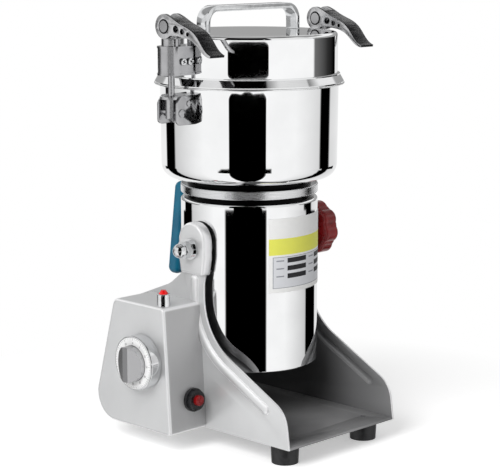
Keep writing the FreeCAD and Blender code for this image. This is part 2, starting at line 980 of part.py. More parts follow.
def neck_collar():
    low = housing_top
    band_low = low + groove_height
    band_high = band_low + band_height
    return turned(
        [
            (collar_bore_radius, low),
            (groove_radius, low),
            (groove_radius, band_low),
            (band_radius, band_low, band_edge),
            (band_radius, band_high, band_edge),
            (shoulder_radius, band_high),
            (shoulder_radius, bowl_bottom),
            (collar_bore_radius, bowl_bottom),
        ]
    )


def end_bracket(plate_low, hub_low, hub_high, pocket_low, pocket_high):
    plate = upright(housing_bore - seat_gap, plate_low, plate_low + bracket_thickness)
    for i in range(bracket_windows):
        window_top = plate_low + bracket_thickness + past
        window = upright(bracket_window_radius, plate_low - past, window_top, bracket_window_centre)
        plate = plate.cut(around_z(window, 45 + 360.0 * i / bracket_windows))
    hub = upright(bracket_hub_radius, hub_low, hub_high)
    shape = plate.fuse(hub)
    shape = shape.cut(upright(shaft_radius + bracket_shaft_gap, hub_low - past, hub_high + past))
    pocket = upright(bearing_radius + seat_gap, pocket_low, pocket_high)
    return shape.cut(pocket).removeSplitter()


def lower_end_bracket():
    low = lower_bearing_bottom
    return end_bracket(lower_bearing_top, low, lower_bracket_top, low - past, lower_bearing_top)


def upper_end_bracket():
    hub_high = upper_bearing_bottom + bearing_width
    return end_bracket(
        upper_bracket_bottom, upper_bracket_bottom, hub_high, upper_bearing_bottom, hub_high + past
    )


def bearing(low):
    ring = upright(bearing_radius, low, low + bearing_width)
    return ring.cut(upright(shaft_radius + running_fit, low - past, low + bearing_width + past))


def stator_core():
    outer = housing_bore - seat_gap
    bore = outer - stator_yoke
    shape = upright(outer, stack_bottom, stack_top).cut(
        upright(bore, stack_bottom - past, stack_top + past)
    )
    for side in (-1, 1):
        x0, x1 = sorted((side * (bore + pole_root), side * (pole_inner_radius - pole_face_depth)))
        pole = block(x0, x1, -pole_half_width, pole_half_width, stack_bottom, stack_top)
        shape = shape.fuse(pole)
    shape = shape.cut(upright(pole_inner_radius, stack_bottom - past, stack_top + past))
    return shape.removeSplitter()


def field_coil(side):
    bore = housing_bore - stator_yoke
    near = pole_inner_radius + coil_tip_gap
    x0, x1 = sorted((side * near, side * (near + coil_depth)))
    wide = pole_half_width + coil_thickness
    outer = block(x0, x1, -wide, wide, stack_bottom - coil_thickness, stack_top + coil_thickness)
    gap = seat_gap
    inner = block(
        x0 - past,
        x1 + past,
        -pole_half_width - gap,
        pole_half_width + gap,
        stack_bottom - gap,
        stack_top + gap,
    )
    coil = outer.cut(inner)
    low = stack_bottom - coil_thickness - past
    high = stack_top + coil_thickness + past
    limit = upright(bore - seat_gap, low, high)
    clear = upright(armature_radius + coil_armature_gap, low, high)
    return coil.common(limit).cut(clear)


def brush_z():
    return lower_bracket_top + brush_holder_wall + brush_half_size


def brush_holder(side):
    size = brush_half_size + brush_holder_wall
    near = commutator_radius + brush_holder_gap
    y0, y1 = sorted((side * near, side * (near + brush_holder_length)))
    shape = block(-size, size, y0, y1, brush_z() - size, brush_z() + size)
    open_size = brush_half_size + running_fit
    far = near + brush_holder_length - brush_holder_wall
    c0, c1 = sorted((side * (near - past), side * far))
    cavity = block(-open_size, open_size, c0, c1, brush_z() - open_size, brush_z() + open_size)
    return shape.cut(cavity)


def carbon_brush(side):
    near = commutator_radius + running_fit
    y0, y1 = sorted((side * near, side * (near + brush_length)))
    size = brush_half_size
    shape = block(-size, size, y0, y1, brush_z() - size, brush_z() + size)
    return shape.cut(upright(near, brush_z() - size - past, brush_z() + size + past))


def motor_shaft():
    low = lower_bearing_bottom - shaft_tail
    return upright(shaft_radius, low, blade_nut_z + blade_nut_height - blade_nut_cap)


def shaft_bore(low, high):
    return upright(shaft_radius + seat_gap, low - past, high + past)


def armature_core():
    shape = upright(armature_radius, stack_bottom, stack_top)
    for i in range(armature_slots):
        slot = block(
            armature_radius - armature_slot_depth,
            armature_radius + past,
            -armature_slot_width / 2,
            armature_slot_width / 2,
            stack_bottom - past,
            stack_top + past,
        )
        shape = shape.cut(around_z(slot, 360.0 * i / armature_slots))
    return shape.cut(shaft_bore(stack_bottom, stack_top))


def armature_winding(low):
    bore = commutator_radius - winding_inset
    return turned(
        [
            (bore, low, winding_bore_edge),
            (winding_radius, low, winding_edge),
            (winding_radius, low + winding_height, winding_edge),
            (bore, low + winding_height, winding_bore_edge),
        ]
    )


def commutator():
    low = commutator_bottom
    high = commutator_top
    shape = upright(commutator_radius, low, high)
    for i in range(commutator_bars):
        slot = block(
            commutator_radius - commutator_slot_depth,
            commutator_radius + past,
            -commutator_slot / 2,
            commutator_slot / 2,
            low - past,
            high + past,
        )
        shape = shape.cut(around_z(slot, 360.0 * i / commutator_bars))
    return shape.cut(shaft_bore(low, high))


def cooling_fan():
    low = stack_top + coil_thickness + fan_gap
    high = low + fan_disc
    shape = upright(fan_radius, low, high)
    hub_radius = shaft_radius + fan_hub_wall
    hub = upright(hub_radius, low, high + fan_blade_height)
    shape = shape.fuse(hub)
    for i in range(fan_blades):
        blade = block(
            hub_radius - fan_blade_inset,
            fan_radius - fan_blade_inset,
            -fan_blade_thickness / 2,
            fan_blade_thickness / 2,
            high - fan_blade_root,
            high + fan_blade_height,
        )
        shape = shape.fuse(around_z(blade, 360.0 * i / fan_blades))
    return shape.cut(shaft_bore(low, high + fan_blade_height)).removeSplitter()


# Grinding bowl and blades

def bowl_profile(inset):
    """Outside of the bowl, moved inwards by the wall, from its floor to its mouth."""
    low_radius = bowl_radius - bowl_draft - inset
    return [
        (bowl_hole_radius, bowl_bottom + inset),
        (low_radius, bowl_bottom + inset, bowl_corner - inset),
        (bowl_radius - inset, bowl_top),
    ]


def bowl_block():
    """The space inside the outside of the bowl, filled."""
    corners = [(0, bowl_bottom)] + bowl_profile(0)[1:] + [(0, bowl_top)]
    return turned(corners)


def grinding_bowl():
    return turned(bowl_profile(0) + list(reversed(bowl_profile(bowl_wall))))


def bowl_flange():
    return turned(
        [
            (bowl_radius - bowl_wall, bowl_top),
            (flange_radius, bowl_top, flange_edge),
            (flange_radius, flange_top, flange_edge),
            (bowl_radius - bowl_wall, flange_top),
        ]
    )


def shaft_seal():
    return turned(
        [
            (shaft_radius + running_fit, bowl_bottom - seal_drop),
            (bowl_hole_radius - seat_gap, bowl_bottom - seal_drop),
            (bowl_hole_radius - seat_gap, bowl_bottom + bowl_wall),
            (seal_flange_radius, bowl_bottom + bowl_wall),
            (seal_flange_radius, seal_top, seal_edge),
            (shaft_radius + running_fit, seal_top),
        ]
    )


def blade(reach, flat, lift, low):
    """Straight bar with both ends bent up."""
    high = low + blade_thickness
    strip = plate_y(
        [
            (-reach, low + lift),
            (-flat, low, blade_bend_radius),
            (flat, low, blade_bend_radius),
            (reach, low + lift),
            (reach, high + lift),
            (flat, high, blade_bend_radius / 2),
            (-flat, high, blade_bend_radius / 2),
            (-reach, high + lift),
        ],
        -blade_half_width,
        blade_half_width,
    )
    return strip.cut(shaft_bore(low, high))


def spacer(low, high):
    return upright(spacer_radius, low, high).cut(shaft_bore(low, high))


def blade_nut():
    high = blade_nut_z + blade_nut_height
    body = hexagon_z(blade_nut_flats, blade_nut_z, high)
    foot = Vector(0, 0, blade_nut_z)
    crown = Part.makeCone(blade_nut_foot_radius, blade_nut_top_radius, blade_nut_height, foot)
    bore = upright(shaft_radius + seat_gap, blade_nut_z - past, high - blade_nut_cap)
    return body.common(crown).cut(bore)


# Lid

def lid_rim():
    """Conical ring under the lid, which closes on the flange of the bowl."""
    return turned(
        [
            (rim_bore_radius, flange_top),
            (rim_bottom_radius, flange_top),
            (rim_bottom_radius, flange_top + rim_edge_height),
            (rim_top_radius, rim_top - rim_edge_height),
            (rim_top_radius, rim_top),
            (rim_bore_radius, rim_top),
        ]
    )


def lid_gasket():
    wall_radius = rim_bore_radius - seat_gap
    inside = wall_radius - gasket_wall
    return turned(
        [
            (inside, flange_top - gasket_lip_height),
            (gasket_lip_radius, flange_top - gasket_lip_height),
            (gasket_lip_radius, flange_top),
            (wall_radius, flange_top),
            (wall_radius, rim_top),
            (inside, rim_top),
        ]
    )


def lid_shell():
    bore = lid_radius - lid_wall
    return turned(
        [
            (bore, rim_top),
            (lid_radius, rim_top),
            (lid_radius, lid_top, lid_edge),
            (0, lid_top),
            (0, lid_top - lid_wall),
            (bore, lid_top - lid_wall, lid_edge - lid_wall),
        ]
    )


def lid_handle():
    top = lid_top + handle_rise
    reach = handle_half_span
    inner = reach - handle_thickness
    inner_corner = handle_corner - handle_thickness
    return plate_y(
        [
            (-reach, lid_top),
            (-reach, top, handle_corner),
            (reach, top, handle_corner),
            (reach, lid_top),
            (inner, lid_top),
            (inner, top - handle_thickness, inner_corner),
            (-inner, top - handle_thickness, inner_corner),
            (-inner, lid_top),
        ],
        -handle_half_width,
        handle_half_width,
    )


# Latches, modelled on the left

def latch_keeper():
    """Bracket on the bowl, with the pin that the latch swings on."""
    low = latch_pivot_z - keeper_bottom_drop
    high = latch_pivot_z + keeper_top_rise
    near = -(bowl_radius - keeper_root)
    web_face = -(bowl_radius + keeper_web_depth)
    shape = block(web_face, near, -keeper_half_width, keeper_half_width, low, high)
    for side in (-1, 1):
        y0, y1 = sorted((side * (keeper_half_width - keeper_sheet), side * keeper_half_width))
        ear = plate_y(
            [
                (near, low),
                (-keeper_outer_reach, low, keeper_corner),
                (-keeper_outer_reach, high - keeper_slant_drop, keeper_corner),
                (-keeper_outer_reach + keeper_slant_setback, high, keeper_corner / 2),
                (near, high),
            ],
            y0,
            y1,
        )
        shape = shape.fuse(ear)
    shape = shape.cut(bowl_block())
    rivet_x = -latch_reach + rivet_setback
    rivet_head = rivet_radius + rivet_head_edge
    for x, z, radius, head in (
        (-latch_reach, latch_pivot_z, latch_pin_radius, latch_pin_head_radius),
        (rivet_x, latch_pivot_z + rivet_rise, rivet_radius, rivet_head),
    ):
        end = keeper_half_width + latch_pin_head_height
        shape = shape.fuse(bar(radius, Vector(x, -end, z), Vector(x, end, z)))
        for side in (-1, 1):
            start = Vector(x, side * keeper_half_width, z)
            shape = shape.fuse(bar(head, start, Vector(x, side * end, z)))
    return shape.removeSplitter()


def latch_rod():
    """Barrel on the keeper's pin, threaded rod, its disc and collar, and the cross pin."""
    x = -latch_reach
    low = latch_pivot_z - barrel_drop
    disc_z = latch_pivot_z + barrel_rise
    shape = upright(barrel_radius, low, disc_z, x)
    shape = shape.fuse(upright(disc_radius, disc_z, disc_z + disc_thickness, x))
    shape = shape.fuse(upright(rod_radius, disc_z, eye_z, x))
    shape = shape.fuse(upright(collar_radius, shoe_top, shoe_top + collar_height, x))
    stand = lever_half_width + eye_pin_stand
    shape = shape.fuse(crosswise(eye_pin_radius, x - stand, x + stand, 0, eye_z))
    bore = latch_pin_radius + running_fit
    wide = barrel_radius + past
    pivot = bar(bore, Vector(x, -wide, latch_pivot_z), Vector(x, wide, latch_pivot_z))
    return shape.cut(pivot).removeSplitter()


def shoe_outline(grow):
    """Round-backed outline of the shoe in (x, y)."""
    reach = latch_reach + shoe_radius + grow
    half = shoe_radius + grow
    near = -(lid_radius + shoe_lid_gap)
    return [
        (-reach, -half, half - seat_gap),
        (near, -half),
        (near, half),
        (-reach, half, half - seat_gap),
    ]


def latch_shoe():
    shape = plate_z(shoe_outline(0), shoe_bottom, shoe_top)
    for low in (shoe_bottom, shoe_top - shoe_bead_height):
        shape = shape.fuse(plate_z(shoe_outline(shoe_bead), low, low + shoe_bead_height))
    inner = plate_z(shoe_outline(-shoe_sheet), shoe_bottom - past, shoe_top - shoe_sheet)
    shape = shape.cut(inner)
    mouth = block(
        -latch_reach + shoe_mouth_depth,
        -lid_radius + shoe_mouth_reach,
        -shoe_radius + shoe_sheet,
        shoe_radius - shoe_sheet,
        shoe_bottom - past,
        shoe_top - shoe_sheet,
    )
    shape = shape.cut(mouth)
    hole = upright(rod_radius + seat_gap, shoe_bottom, shoe_top + past, -latch_reach)
    return shape.cut(hole).removeSplitter()


def lever_side(sink, low, high):
    """S-shaped side view of the lever between two X planes, moved down where it is hollow."""
    top = [Vector(low, -reach, eye_z + rise - sink) for reach, rise in ((0.0, eye_radius),) + lever_top]
    under = [Vector(low, -reach, eye_z + rise - sink) for reach, rise in lever_under]
    under.append(Vector(low, 0, eye_z - eye_radius - sink))
    edges = []
    for points in (top, under):
        curve = Part.BSplineCurve()
        curve.interpolate(points)
        edges.append(curve.toShape())
    edges.append(Part.makeLine(top[-1], under[0]))
    edges.append(Part.makeLine(under[-1], top[0]))
    outline = Part.Wire(Part.__sortEdges__(edges))
    return Part.Face(outline).extrude(Vector(high - low, 0, 0))


def cam_lever():
    """Cast lever with two side walls, round about its pin, and a solid tip."""
    x = -latch_reach
    wide = lever_half_width
    slot = lever_slot_half_width
    tip_reach = lever_top[-1][0]
    shape = lever_side(0, x - wide, x + wide)
    hollow = lever_side(lever_web, x - slot, x + slot)
    tip_wall = block(
        x - slot, x + slot, -tip_reach - past, -tip_reach + lever_tip_wall, latch_pivot_z, eye_z + eye_radius
    )
    shape = shape.cut(hollow.cut(tip_wall))
    shape = shape.fuse(crosswise(eye_radius, x - wide, x + wide, 0, eye_z))
    shape = shape.cut(crosswise(eye_radius + lever_eye_gap, x - slot, x + slot, 0, eye_z))
    shape = shape.cut(
        crosswise(eye_pin_radius + running_fit, x - wide - past, x + wide + past, 0, eye_z)
    )
    for radius, reach, drop in zip(lever_hole_radii, lever_hole_reach, lever_hole_drop):
        shape = shape.cut(crosswise(radius, x - wide - past, x + wide + past, -reach, eye_z - drop))
    return shape.removeSplitter()


# Swing handle

def strap_face(z):
    """Outside of the strap's web, which leans away from the housing."""
    top = pivot_height + strap_top_rise
    share = (top - z) / strap_height
    return strap_reach_top + share * (strap_reach_bottom - strap_reach_top)


def strap_levels():
    top = pivot_height + strap_top_rise
    return top, top - strap_height


def strap_screw_heights():
    top, bottom = strap_levels()
    return top + strap_foot_length / 2, bottom - strap_foot_length / 2


def web_lean():
    return math.atan2(strap_reach_bottom - strap_reach_top, strap_height)


def web_normal():
    return Vector(0, math.cos(web_lean()), math.sin(web_lean()))


def strap_inside(z):
    """Inside of the strap's web, one sheet thickness from its outside."""
    return strap_face(z) - strap_sheet / math.cos(web_lean())


def grip_screw_points():
    top, bottom = strap_levels()
    middle = (top + bottom) / 2
    points = []
    for side in (-1, 1):
        z = middle + side * grip_screw_spacing / 2
        points.append(Vector(0, strap_face(z), z))
    return points


def grip_strap():
    top, bottom = strap_levels()
    foot_face = housing_radius + strap_sheet
    inside = housing_radius - strap_overlap
    sheet = strap_sheet
    side = strap_half_width
    shape = plate_x(
        [
            (inside, top + strap_foot_length),
            (foot_face, top + strap_foot_length),
            (foot_face, top),
            (strap_face(top), top, strap_bend_radius),
            (strap_face(bottom), bottom, strap_bend_radius),
            (foot_face, bottom),
            (foot_face, bottom - strap_foot_length),
            (inside, bottom - strap_foot_length),
            (inside, bottom + sheet),
            (strap_inside(bottom + sheet), bottom + sheet, strap_bend_inside),
            (strap_inside(top - sheet), top - sheet, strap_bend_inside),
            (inside, top - sheet),
        ],
        -side,
        side,
    )
    shape = shape.cut(upright(housing_radius + seat_gap, housing_bottom, bowl_top))
    hole = strap_screw_radius + screw_clearance
    for z in strap_screw_heights():
        shape = shape.cut(bar(hole, Vector(0, inside, z), Vector(0, foot_face + past, z)))
    for point in grip_screw_points():
        reach = web_normal() * (2 * sheet)
        shape = shape.cut(bar(hole, point - reach, point + reach))
    return shape.removeSplitter()


def rear_grip():
    top, bottom = strap_levels()
    high = top + grip_over_top
    low = bottom - grip_over_bottom
    shape = plate_x(
        [
            (strap_face(low), low, grip_corner),
            (strap_face(low) + grip_thickness + grip_bottom_swell, low, grip_corner),
            (strap_face(high) + grip_thickness, high, grip_corner),
            (strap_face(high), high, grip_corner),
        ],
        -grip_half_width,
        grip_half_width,
    )
    rims = edges_at_x(shape, -grip_half_width) + edges_at_x(shape, grip_half_width)
    shape = shape.makeFillet(grip_edge, rims)
    for point in grip_screw_points():
        normal = web_normal()
        shape = shape.cut(
            bar(strap_screw_radius + seat_gap, point - normal, point + normal * grip_screw_bite)
        )
    return shape


def screw(seat, inward, depth):
    """Round-headed screw, with its head on the seat and its shank running inwards."""
    head = bar(strap_screw_head_radius, seat - inward * strap_screw_head_height, seat)
    rims = []
    for edge in head.Edges:
        if edge.CenterOfMass.distanceToPoint(seat - inward * strap_screw_head_height) < 0.01:
            rims.append(edge)
    head = head.makeFillet(screw_head_round, rims)
    shank = bar(strap_screw_radius, seat, seat + inward * depth)
    return head.fuse(shank).removeSplitter()


def grip_screws():
    screws = []
    foot_face = housing_radius + strap_sheet
    for z in strap_screw_heights():
        depth = strap_sheet + housing_wall - body_gap
        screws.append(screw(Vector(0, foot_face, z), Vector(0, -1, 0), depth))
    for point in grip_screw_points():
        normal = web_normal()
        seat = point - normal * strap_sheet
        screws.append(screw(seat, normal, strap_sheet + grip_screw_bite - grip_screw_room))
    return screws


def rating_plate():
    top = housing_top - housing_rim - plate_drop
    low_radius = housing_radius + seat_gap
    section = Part.Face(
        Part.makePolygon(
            [
                Vector(low_radius, 0, top - plate_height),
                Vector(low_radius + plate_gauge, 0, top - plate_height),
                Vector(low_radius + plate_gauge, 0, top),
                Vector(low_radius, 0, top),
                Vector(low_radius, 0, top - plate_height),
            ]
        )
    )
    shape = section.revolve(
        Vector(0, 0, 0), Vector(0, 0, 1), plate_end_degrees - plate_start_degrees
    )
    return around_z(shape, plate_start_degrees)


# Base
for foot_name, (foot_x, foot_y) in foot_places().items():
    save(foot_name, foot(foot_x, foot_y))
save("foot_screws", *[foot_screw(x, y) for x, y in foot_places().values()])
save("tray_floor", tray_floor())
save("rear_wall", rear_wall())
left_cheek = cheek()
save("left_cheek", left_cheek)
save("right_cheek", mirrored(left_cheek))
left_bush = pivot_bush()
save("pivot_bushes", left_bush, mirrored(left_bush))
save("control_box", control_box())
save("timer_switch", timer_switch())
save("breaker_body", breaker_body())
save("indicator_sleeve", indicator_sleeve())
save("indicator_lens", indicator_lens())
save("cord_gland", cord_gland())

# Controls that move
save("timer_knob", timer_knob())
save("breaker_button", breaker_button())
save("lock_knob", lock_knob())

# Swinging mill
save("motor_housing", motor_housing())
save("motor_base_plate", motor_base_plate())
save("neck_collar", neck_collar())
save("lower_end_bracket", lower_end_bracket())
save("upper_end_bracket", upper_end_bracket())
save("shaft_bearings", bearing(lower_bearing_bottom), bearing(upper_bearing_bottom))
save("stator_core", stator_core())
save("field_coils", field_coil(-1), field_coil(1))
save("brush_holders", brush_holder(-1), brush_holder(1))
save("carbon_brushes", carbon_brush(-1), carbon_brush(1))
left_stud_end = nut_start() - nut_height - stud_tip_length
lock_knob_end = ear_face + 2 * body_gap + washer_thickness + lock_knob_hub_length + lock_knob_thickness
right_stud_end = -lock_knob_end + lock_knob_floor + stud_end_gap
save("pivot_studs", pivot_stud(left_stud_end), mirrored(pivot_stud(right_stud_end)))
save("acorn_nut", acorn_nut())
save("pivot_washers", flat_washer(), lock_washer(), mirrored(flat_washer()))
save("grip_strap", grip_strap())
save("rear_grip", rear_grip())
save("grip_screws", *grip_screws())
save("rating_plate", rating_plate())
save("grinding_bowl", grinding_bowl())
save("bowl_flange", bowl_flange())
save("shaft_seal", shaft_seal())
left_keeper = latch_keeper()
save("left_latch_keeper", left_keeper)
save("right_latch_keeper", mirrored(left_keeper))

# Motor shaft and all that turns with it
save("motor_shaft", motor_shaft())
save("armature_core", armature_core())
save("armature_windings", armature_winding(stack_bottom - winding_height), armature_winding(stack_top))
save("commutator", commutator())
save("cooling_fan", cooling_fan())
save("lower_blade", blade(lower_blade_reach, lower_blade_flat, lower_blade_lift, lower_blade_z))
upper = blade(upper_blade_reach, upper_blade_flat, upper_blade_lift, upper_blade_z)
save("upper_blade", around_z(upper, 90))
save(
    "blade_spacers",
    spacer(seal_top + body_gap, lower_blade_z),
    spacer(lower_blade_z + blade_thickness, upper_blade_z),
)
save("blade_nut", blade_nut())

# Lid
save("lid_rim", lid_rim())
save("lid_gasket", lid_gasket())
save("lid_shell", lid_shell())
save("lid_handle", lid_handle())

# Latches
for piece_name, piece in (
    ("latch_rod", latch_rod()),
    ("latch_shoe", latch_shoe()),
    ("cam_lever", cam_lever()),
):
    save("left_" + piece_name, piece)
    save("right_" + piece_name, mirrored(piece))
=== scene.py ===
import bpy
import json
import math
from mathutils import Euler, Matrix, Vector


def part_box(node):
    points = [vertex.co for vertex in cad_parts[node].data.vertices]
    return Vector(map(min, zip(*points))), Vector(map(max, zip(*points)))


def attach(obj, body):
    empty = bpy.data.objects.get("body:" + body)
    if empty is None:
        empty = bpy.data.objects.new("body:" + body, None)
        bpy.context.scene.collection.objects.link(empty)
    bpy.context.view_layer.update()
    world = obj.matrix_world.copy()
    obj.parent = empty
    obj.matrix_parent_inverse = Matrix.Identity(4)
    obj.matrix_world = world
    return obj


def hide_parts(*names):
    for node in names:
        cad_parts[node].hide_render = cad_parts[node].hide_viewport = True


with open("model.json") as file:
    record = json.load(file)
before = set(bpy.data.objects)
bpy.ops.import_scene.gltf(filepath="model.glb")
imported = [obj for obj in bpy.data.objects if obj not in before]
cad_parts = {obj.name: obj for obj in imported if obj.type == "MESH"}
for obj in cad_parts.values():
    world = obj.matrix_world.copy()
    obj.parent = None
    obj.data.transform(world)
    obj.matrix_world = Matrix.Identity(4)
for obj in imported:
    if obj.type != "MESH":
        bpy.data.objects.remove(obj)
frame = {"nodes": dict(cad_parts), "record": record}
for leftover in ("Cube", "Light", "Camera"):
    if leftover in bpy.data.objects:
        bpy.data.objects.remove(bpy.data.objects[leftover])
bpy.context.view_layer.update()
print("frame loaded with", len(frame["nodes"]), "nodes")

mm = 0.001
scene = bpy.context.scene
scene.view_settings.view_transform = "Standard"


# Camera

cameraSettings = {
    "place": (-1.0313, -1.0257, 0.4341), "tiltDegrees": 79.73, "turnDegrees": -45.18,
    "lens": 123.0, "sensor": 36.0,
}


def makeCamera():
    data = bpy.data.cameras.new("photoCamera")
    data.lens = cameraSettings["lens"]
    data.sensor_width = cameraSettings["sensor"]
    camera = bpy.data.objects.new("photoCamera", data)
    camera.location = cameraSettings["place"]
    tilt = math.radians(cameraSettings["tiltDegrees"])
    turn = math.radians(cameraSettings["turnDegrees"])
    camera.rotation_euler = (tilt, 0.0, turn)
    scene.collection.objects.link(camera)
    scene.camera = camera


makeCamera()
print("camera placed")


# Node helpers, shared by the materials, the floor and the world

def addNode(tree, kind, **settings):
    node = tree.nodes.new("ShaderNode" + kind)
    for name, value in settings.items():
        setattr(node, name, value)
    return node


def plug(tree, source, target):
    # source is an output or a plain number
    if isinstance(source, (int, float)):
        target.default_value = source
    else:
        tree.links.new(source, target)


def maths(tree, operation, first, second=0.0, third=0.0):
    node = addNode(tree, "Math", operation=operation)
    for value, socket in zip((first, second, third), node.inputs):
        plug(tree, value, socket)
    return node.outputs[0]


def distance(tree, first, second):
    # how far a point lies from a middle, from its two offsets
    squares = [maths(tree, "MULTIPLY", value, value) for value in (first, second)]
    return maths(tree, "SQRT", maths(tree, "ADD", *squares))


def spread(tree, value, low, high, newLow, newHigh):
    # maps low..high to newLow..newHigh and stops there
    node = addNode(tree, "MapRange")
    for number, socket in zip((value, low, high, newLow, newHigh), node.inputs):
        plug(tree, number, socket)
    return node.outputs[0]


def colourRamp(tree, value, stops):
    # stops are (place, colour)
    node = addNode(tree, "ValToRGB")
    elements = node.color_ramp.elements
    while len(elements) < len(stops):
        elements.new(0.5)
    for element, (place, colour) in zip(elements, stops):
        element.position = place
        element.color = (*colour, 1.0)
    plug(tree, value, node.inputs[0])
    return node.outputs[0]


def mixColour(tree, factor, first, second):
    node = addNode(tree, "Mix", data_type="RGBA")
    plug(tree, factor, node.inputs[0])
    for value, socket in ((first, node.inputs[6]), (second, node.inputs[7])):
        if isinstance(value, tuple):
            socket.default_value = (*value, 1.0)
        else:
            tree.links.new(value, socket)
    return node.outputs[2]


def coordinates(tree, kind):
    # the x, y and z of the piece's own coordinates, for its Object place or its Normal
    source = addNode(tree, "TexCoord")
    split = addNode(tree, "SeparateXYZ")
    tree.links.new(source.outputs[kind], split.inputs[0])
    return split.outputs


def grain(tree, size, stretch=(1, 1, 1), detail=3.0):
    # noise whose spots are about size metres wide, drawn out along the axes with a small stretch
    source = addNode(tree, "TexCoord")
    mapping = addNode(tree, "Mapping")
    mapping.inputs["Scale"].default_value = [part / size for part in stretch]
    noise = addNode(tree, "TexNoise")
    noise.inputs["Scale"].default_value = 1.0
    noise.inputs["Detail"].default_value = detail
    tree.links.new(source.outputs["Object"], mapping.inputs["Vector"])
    tree.links.new(mapping.outputs["Vector"], noise.inputs["Vector"])
    return noise.outputs[0]


def addBump(tree, height, depth):
    node = addNode(tree, "Bump")
    node.inputs["Distance"].default_value = depth
    plug(tree, height, node.inputs["Height"])
    tree.links.new(node.outputs[0], tree.nodes["Principled BSDF"].inputs["Normal"])


# Materials: dark and light are the two ends of the colour, rough the two ends of the roughness,
# and size and depth the grain and its bump in metres

